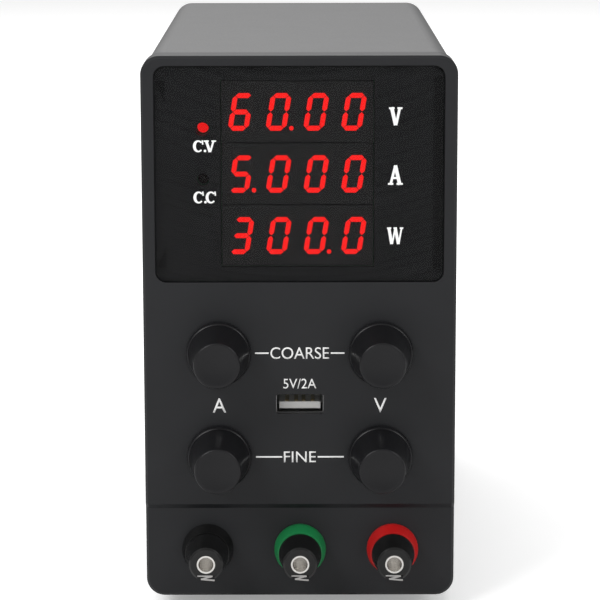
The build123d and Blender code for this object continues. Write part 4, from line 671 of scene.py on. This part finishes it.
class SUPPLY_OT_lettering(bpy.types.Operator):
    """Prints the lettering and dashes on the window and on the front"""

    bl_idname = "supply.lettering"
    bl_label = "Lettering"

    def execute(self, context):
        sizes = context.scene.supply_front
        ink = finish("ink_white", sizes.ink, 0.6, 0, 0, 0.2, 0.03)

        def print_strokes(name, strokes, x, z, surface):
            """Each stroke is a raised bar of its own, a hair higher than the one before it."""
            for number, stroke in enumerate(strokes):
                lifted = surface - sizes.ink_height - sizes.ink_step * number
                placed = np.asarray(stroke)[None] * MM + (x * MM, PANEL_BOTTOM + z * MM)
                add_piece(f"{name}_{number}", *prisms(placed, surface, lifted), "housing", ink, INK_SHARP)

        def print_words(name, words, x, z, width, height):
            """Plain letters fitted to their measured width and height, x and z being their middle."""
            curve = bpy.data.curves.new(name, "FONT")
            curve.body = words
            maker = bpy.data.objects.new(name, curve)
            context.scene.collection.objects.link(maker)
            context.view_layer.update()
            mesh = bpy.data.meshes.new_from_object(maker.evaluated_get(context.evaluated_depsgraph_get()))
            points = np.zeros(len(mesh.vertices) * 3)
            mesh.vertices.foreach_get("co", points)
            flat = points.reshape(-1, 3)[:, :2]
            faces = [list(p.vertices) for p in mesh.polygons]
            bpy.data.objects.remove(maker)
            low, high = flat.min(0), flat.max(0)
            flat = (flat - (low + high) / 2) / (high - low) * (width * MM, height * MM)
            flat = flat + (x * MM, PANEL_BOTTOM + z * MM)
            lifted = np.full(len(flat), FRONT - sizes.ink_height)
            face = np.stack([flat[:, 0], lifted, flat[:, 1]], -1)
            piece = add_piece(name, face, faces, "housing", ink, INK_SHARP)
            rise = piece.modifiers.new("Ink", "SOLIDIFY")
            rise.thickness = sizes.ink_height
            rise.offset = -1 if piece.data.polygons[0].normal.y < 0 else 1

        for name, maker, width, height, thick, thin, x, z in STROKE_LETTERS:
            print_strokes(name, maker(width, height, thick, thin), x, z, PANE_FRONT)
        for name, words, x, z, width, height in WORDS:
            print_words(name, words, x, z, width, height)
        for name, start, end, z in DASHES:
            for side, label in ((-1, "left"), (1, "right")):
                dash = ribbon([(side * start, 0), (side * end, 0)], DASH_WIDTH)
                print_strokes(f"dash_{name}_{label}", [dash], 0, z, FRONT)
        return {"FINISHED"}


class SUPPLY_OT_knobs(bpy.types.Operator):
    """Makes the four turned knobs"""

    bl_idname = "supply.knobs"
    bl_label = "Knobs"

    def execute(self, context):
        sizes = context.scene.supply_knobs
        plastic = finish("knob_plastic", sizes.colour, 0.32, 0, 0.004, 0.3, 0.1, Specular_IOR_Level=0.22)
        for name in KNOBS:
            low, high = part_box("knob_" + name)
            shaft_low, shaft_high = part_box("shaft_" + name)
            back, front = high.y, low.y
            base = (high.x - low.x) / 2
            face = sizes.face / 2
            bore = (shaft_high.x - shaft_low.x) / 2 + sizes.bore_gap
            bore_front = shaft_low.y - sizes.bore_end
            skirt = back - sizes.skirt
            shoulder = arc((base - sizes.shoulder, skirt), sizes.shoulder, 0, -65, 9)
            rim = arc((face - sizes.edge, front + sizes.edge), sizes.edge, -10, -90, 9)
            across = np.linspace(1, 0, 9)[1:]
            dish = np.stack([(face - sizes.edge) * across, front + sizes.dish * (1 - across**2)], -1)
            well_front = back - sizes.well_depth
            hollow_front = back - sizes.hollow_depth
            inside = (
                (0, bore_front),
                (bore, bore_front),
                (bore, well_front),
                (sizes.well / 2, well_front),
                (sizes.well / 2, hollow_front),
                (sizes.hollow / 2, hollow_front),
                (sizes.hollow / 2, back),
            )
            edge = ((base - sizes.lip, back), (base, back - sizes.lip), (base, skirt))
            profile = joined(inside, edge, shoulder, rim, dish)
            surface = turned(profile, node_centre("knob_" + name), 128)
            knob = add_piece("turned_knob_" + name, *surface, name, plastic, 40)
            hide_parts("knob_" + name)
        dress(["shaft_" + name for name in KNOBS], brushed("shaft_steel", (0.55, 0.55, 0.55), 0.3))
        return {"FINISHED"}


class SUPPLY_OT_binding_posts(bpy.types.Operator):
    """Finishes the binding posts and makes the bent clip in each cap's notch"""

    bl_idname = "supply.binding_posts"
    bl_label = "Binding Posts"

    def execute(self, context):
        sizes = context.scene.supply_posts
        metal = brushed("stud_nickel", (0.72, 0.7, 0.67), 0.22, (60.0, 1.0, 60.0))
        black = finish("post_black", sizes.black, 0.22, 0, 0.002, 0.4, 0.1, Specular_IOR_Level=0.3)
        dull = brushed("clip_nickel", (0.42, 0.41, 0.4), 0.3, (60.0, 1.0, 60.0))
        dress(["post_studs", "post_nuts", "post_lugs"], metal)
        for colour in POSTS:
            tint = black
            if colour != "black":
                tint = finish("post_" + colour, getattr(sizes, colour), 0.35, 0, 0.004, 0.4, 0.08)
            dress(["post_base_" + colour], tint)
            dress(["post_washer_" + colour], metal)
            dress(["post_cap_" + colour], black)
            x, z = node_centre("post_cap_" + colour)
            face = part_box("post_cap_" + colour)[0].y
            half, drop = sizes.clip_width / 2, sizes.clip_height / 2
            bends = [(-half, drop), (half * 0.75, drop * 0.8), (-half * 0.6, -drop * 0.5), (half, -drop)]
            for number in range(3):
                run = ribbon(bends[number : number + 2], sizes.clip_strip)[None] + (x, z - sizes.clip_drop)
                front = face + sizes.clip_inset + sizes.clip_step * number
                solid = prisms(run, front + sizes.clip_thickness, front)
                piece = add_piece(f"clip_{colour}_{number}", *solid, "cap_" + colour, dull, 20)
        return {"FINISHED"}


class SUPPLY_OT_charging_socket(bpy.types.Operator):
    """Finishes the charging socket"""

    bl_idname = "supply.charging_socket"
    bl_label = "Charging Socket"

    def execute(self, context):
        dress(["usb_shell"], brushed("socket_steel", (0.3, 0.3, 0.3), 0.35))
        dress(["usb_tongue"], finish("socket_plate", (0.62, 0.62, 0.6), 0.4, 0, 0.005, 0.5, 0.1))
        dress(["usb_contacts"], brushed("socket_contact", (0.25, 0.2, 0.1), 0.3))
        return {"FINISHED"}


class SUPPLY_OT_rear_fittings(bpy.types.Operator):
    """Finishes the fan, its guard, the mains inlet, the switch and the selector"""

    bl_idname = "supply.rear_fittings"
    bl_label = "Rear Fittings"

    def execute(self, context):
        black = finish("fitting_black", (0.014, 0.014, 0.014), 0.5, 0, 0.008, 0.3)
        dress(["fan_frame", "inlet_housing", "fuse_drawer", "switch_frame", "selector_body"], black)
        dress(["fan_rotor"], finish("rotor_black", (0.018, 0.018, 0.018), 0.4, 0, 0.004, 0.4))
        dress(["fan_guard"], brushed("guard_wire", (0.6, 0.6, 0.6), 0.2))
        dress(["inlet_pins"], brushed("pin_nickel", (0.7, 0.67, 0.6), 0.25))
        dress(["fuse"], finish("fuse_glass", (0.7, 0.75, 0.75), 0.08, 0, 0, 0.5, 0.02, Alpha=0.4))
        dress(["switch_rocker"], finish("rocker_black", (0.012, 0.012, 0.012), 0.22, 0, 0, 0.5))
        dress(["selector_slider"], finish("slider_red", (0.5, 0.02, 0.012), 0.4, 0, 0.004, 0.4))
        return {"FINISHED"}


class SUPPLY_OT_inside(bpy.types.Operator):
    """Finishes the boards and what stands on them"""

    bl_idname = "supply.inside"
    bl_label = "Inside"

    def execute(self, context):
        board = finish("board_green", (0.012, 0.09, 0.035), 0.35, 0, 0.006, 1.2, 0.2)
        dress(["display_board", "control_board", "main_board"], board)
        dress(["transformer"], finish("transformer_tape", (0.5, 0.34, 0.05), 0.3, 0, 0.01, 1.5, 0.15))
        sink = brushed("sink_aluminium", (0.6, 0.6, 0.61), 0.35)
        dress(["primary_heatsink", "output_heatsink"], sink)
        dress(["power_devices"], finish("device_black", (0.02, 0.02, 0.02), 0.55, 0, 0.01, 0.3))
        sleeve = finish("can_sleeve", (0.02, 0.02, 0.045), 0.25, 0, 0, 0.5)
        dress(["bulk_capacitors", "output_capacitors"], sleeve)
        lacquer = finish("choke_lacquer", (0.3, 0.09, 0.03), 0.3, 0.3, 0.05, 0.9, 0.3)
        dress(["line_choke", "output_choke"], lacquer)
        dress(["pot_bodies", "pot_nuts"], brushed("pot_steel", (0.5, 0.5, 0.5), 0.3))
        return {"FINISHED"}


# Square soft lamps: name, place, point that it faces, side in metres and power in watts
LAMPS = (
    ("key", (-0.9, -1.1, 1.1), (0, FRONT, 0.08), 0.7, 14),
    ("fill", (1.0, -0.9, 0.9), (0, FRONT, 0.08), 0.6, 5),
    ("back", (-0.2, 1.1, 1.4), (0, 0, 0.1), 1.2, 18),
)


class SUPPLY_OT_stage(bpy.types.Operator):
    """Makes the pale floor, the soft light and the camera"""

    bl_idname = "supply.stage"
    bl_label = "Stage"

    def execute(self, context):
        sizes = context.scene.supply_stage
        half = sizes.floor_size / 2
        corners = [(-half, -half, 0), (half, -half, 0), (half, half, 0), (-half, half, 0)]
        mesh = bpy.data.meshes.new("floor")
        mesh.from_pydata(corners, [], [(0, 1, 2, 3)])
        pale = finish("floor_pale", (0.93, 0.93, 0.93), 0.9, 0, 0, 5.0, 0.01)
        mesh.materials.append(pale)
        tree = pale.node_tree
        path = tree.nodes.new("ShaderNodeLightPath")
        lift = tree.nodes.new("ShaderNodeMath")
        lift.operation = "MULTIPLY"
        lift.inputs[1].default_value = sizes.floor_lift
        shader = tree.nodes["Principled BSDF"]
        shader.inputs["Emission Color"].default_value = (1, 1, 1, 1)
        tree.links.new(path.outputs["Is Camera Ray"], lift.inputs[0])
        tree.links.new(lift.outputs["Value"], shader.inputs["Emission Strength"])
        floor = bpy.data.objects.new("floor", mesh)
        context.scene.collection.objects.link(floor)

        # The world is white where the camera sees it, and softer as a light
        world = bpy.data.worlds.new("studio")
        context.scene.world = world
        world.use_nodes = True
        tree = world.node_tree
        tree.nodes.clear()
        output = tree.nodes.new("ShaderNodeOutputWorld")
        mix = tree.nodes.new("ShaderNodeMixShader")
        for socket, strength in ((1, sizes.soft_light), (2, 1.0)):
            light = tree.nodes.new("ShaderNodeBackground")
            light.inputs["Color"].default_value = (1, 1, 1, 1)
            light.inputs["Strength"].default_value = strength
            tree.links.new(light.outputs["Background"], mix.inputs[socket])
        path = tree.nodes.new("ShaderNodeLightPath")
        seen = tree.nodes.new("ShaderNodeMath")
        seen.operation = "MAXIMUM"
        tree.links.new(path.outputs["Is Camera Ray"], seen.inputs[0])
        tree.links.new(path.outputs["Is Transmission Ray"], seen.inputs[1])
        tree.links.new(seen.outputs["Value"], mix.inputs["Fac"])
        tree.links.new(mix.outputs["Shader"], output.inputs["Surface"])

        for name, place, target, size, power in LAMPS:
            data = bpy.data.lights.new(name, "AREA")
            data.size = size
            data.energy = power
            lamp = bpy.data.objects.new(name, data)
            lamp.location = place
            lamp.rotation_euler = (Vector(target) - Vector(place)).to_track_quat("-Z", "Y").to_euler()
            context.scene.collection.objects.link(lamp)

        data = bpy.data.cameras.new("camera")
        data.sensor_width = 36.0
        data.lens = sizes.lens
        data.shift_y = sizes.shift
        camera = bpy.data.objects.new("camera", data)
        turn = Matrix.Rotation(math.pi / 2 - sizes.pitch, 4, "X") @ Matrix.Rotation(sizes.roll, 4, "Z")
        place = Matrix.Translation((sizes.aside, FRONT - sizes.distance, PANEL_BOTTOM + sizes.height))
        camera.matrix_world = place @ turn
        context.scene.collection.objects.link(camera)
        context.scene.camera = camera
        context.scene.view_settings.view_transform = "Standard"
        return {"FINISHED"}


STEPS = (
    SUPPLY_OT_case,
    SUPPLY_OT_window,
    SUPPLY_OT_numbers,
    SUPPLY_OT_lamps,
    SUPPLY_OT_lettering,
    SUPPLY_OT_knobs,
    SUPPLY_OT_binding_posts,
    SUPPLY_OT_charging_socket,
    SUPPLY_OT_rear_fittings,
    SUPPLY_OT_inside,
    SUPPLY_OT_stage,
)


class SUPPLY_PT_pieces(bpy.types.Panel):
    """Lists the pieces and their sizes"""

    bl_idname = "SUPPLY_PT_pieces"
    bl_label = "Bench Power Supply"
    bl_space_type = "VIEW_3D"
    bl_region_type = "UI"
    bl_category = "Bench Supply"

    def draw(self, context):
        for attribute, group in GROUPS.items():
            column = self.layout.column(align=True)
            values = getattr(context.scene, attribute)
            for field in group.__annotations__:
                column.prop(values, field)
        for step in STEPS:
            self.layout.operator(step.bl_idname)


def register():
    for attribute, group in GROUPS.items():
        bpy.utils.register_class(group)
        setattr(bpy.types.Scene, attribute, bpy.props.PointerProperty(type=group))
    for made in (*STEPS, SUPPLY_PT_pieces):
        bpy.utils.register_class(made)


def unregister():
    for made in (SUPPLY_PT_pieces, *reversed(STEPS)):
        bpy.utils.unregister_class(made)
    for attribute, group in GROUPS.items():
        delattr(bpy.types.Scene, attribute)
        bpy.utils.unregister_class(group)


def main():
    register()
    for step in STEPS:
        group, name = step.bl_idname.split(".")
        getattr(getattr(bpy.ops, group), name)()


if __name__ == "__main__":
    main()
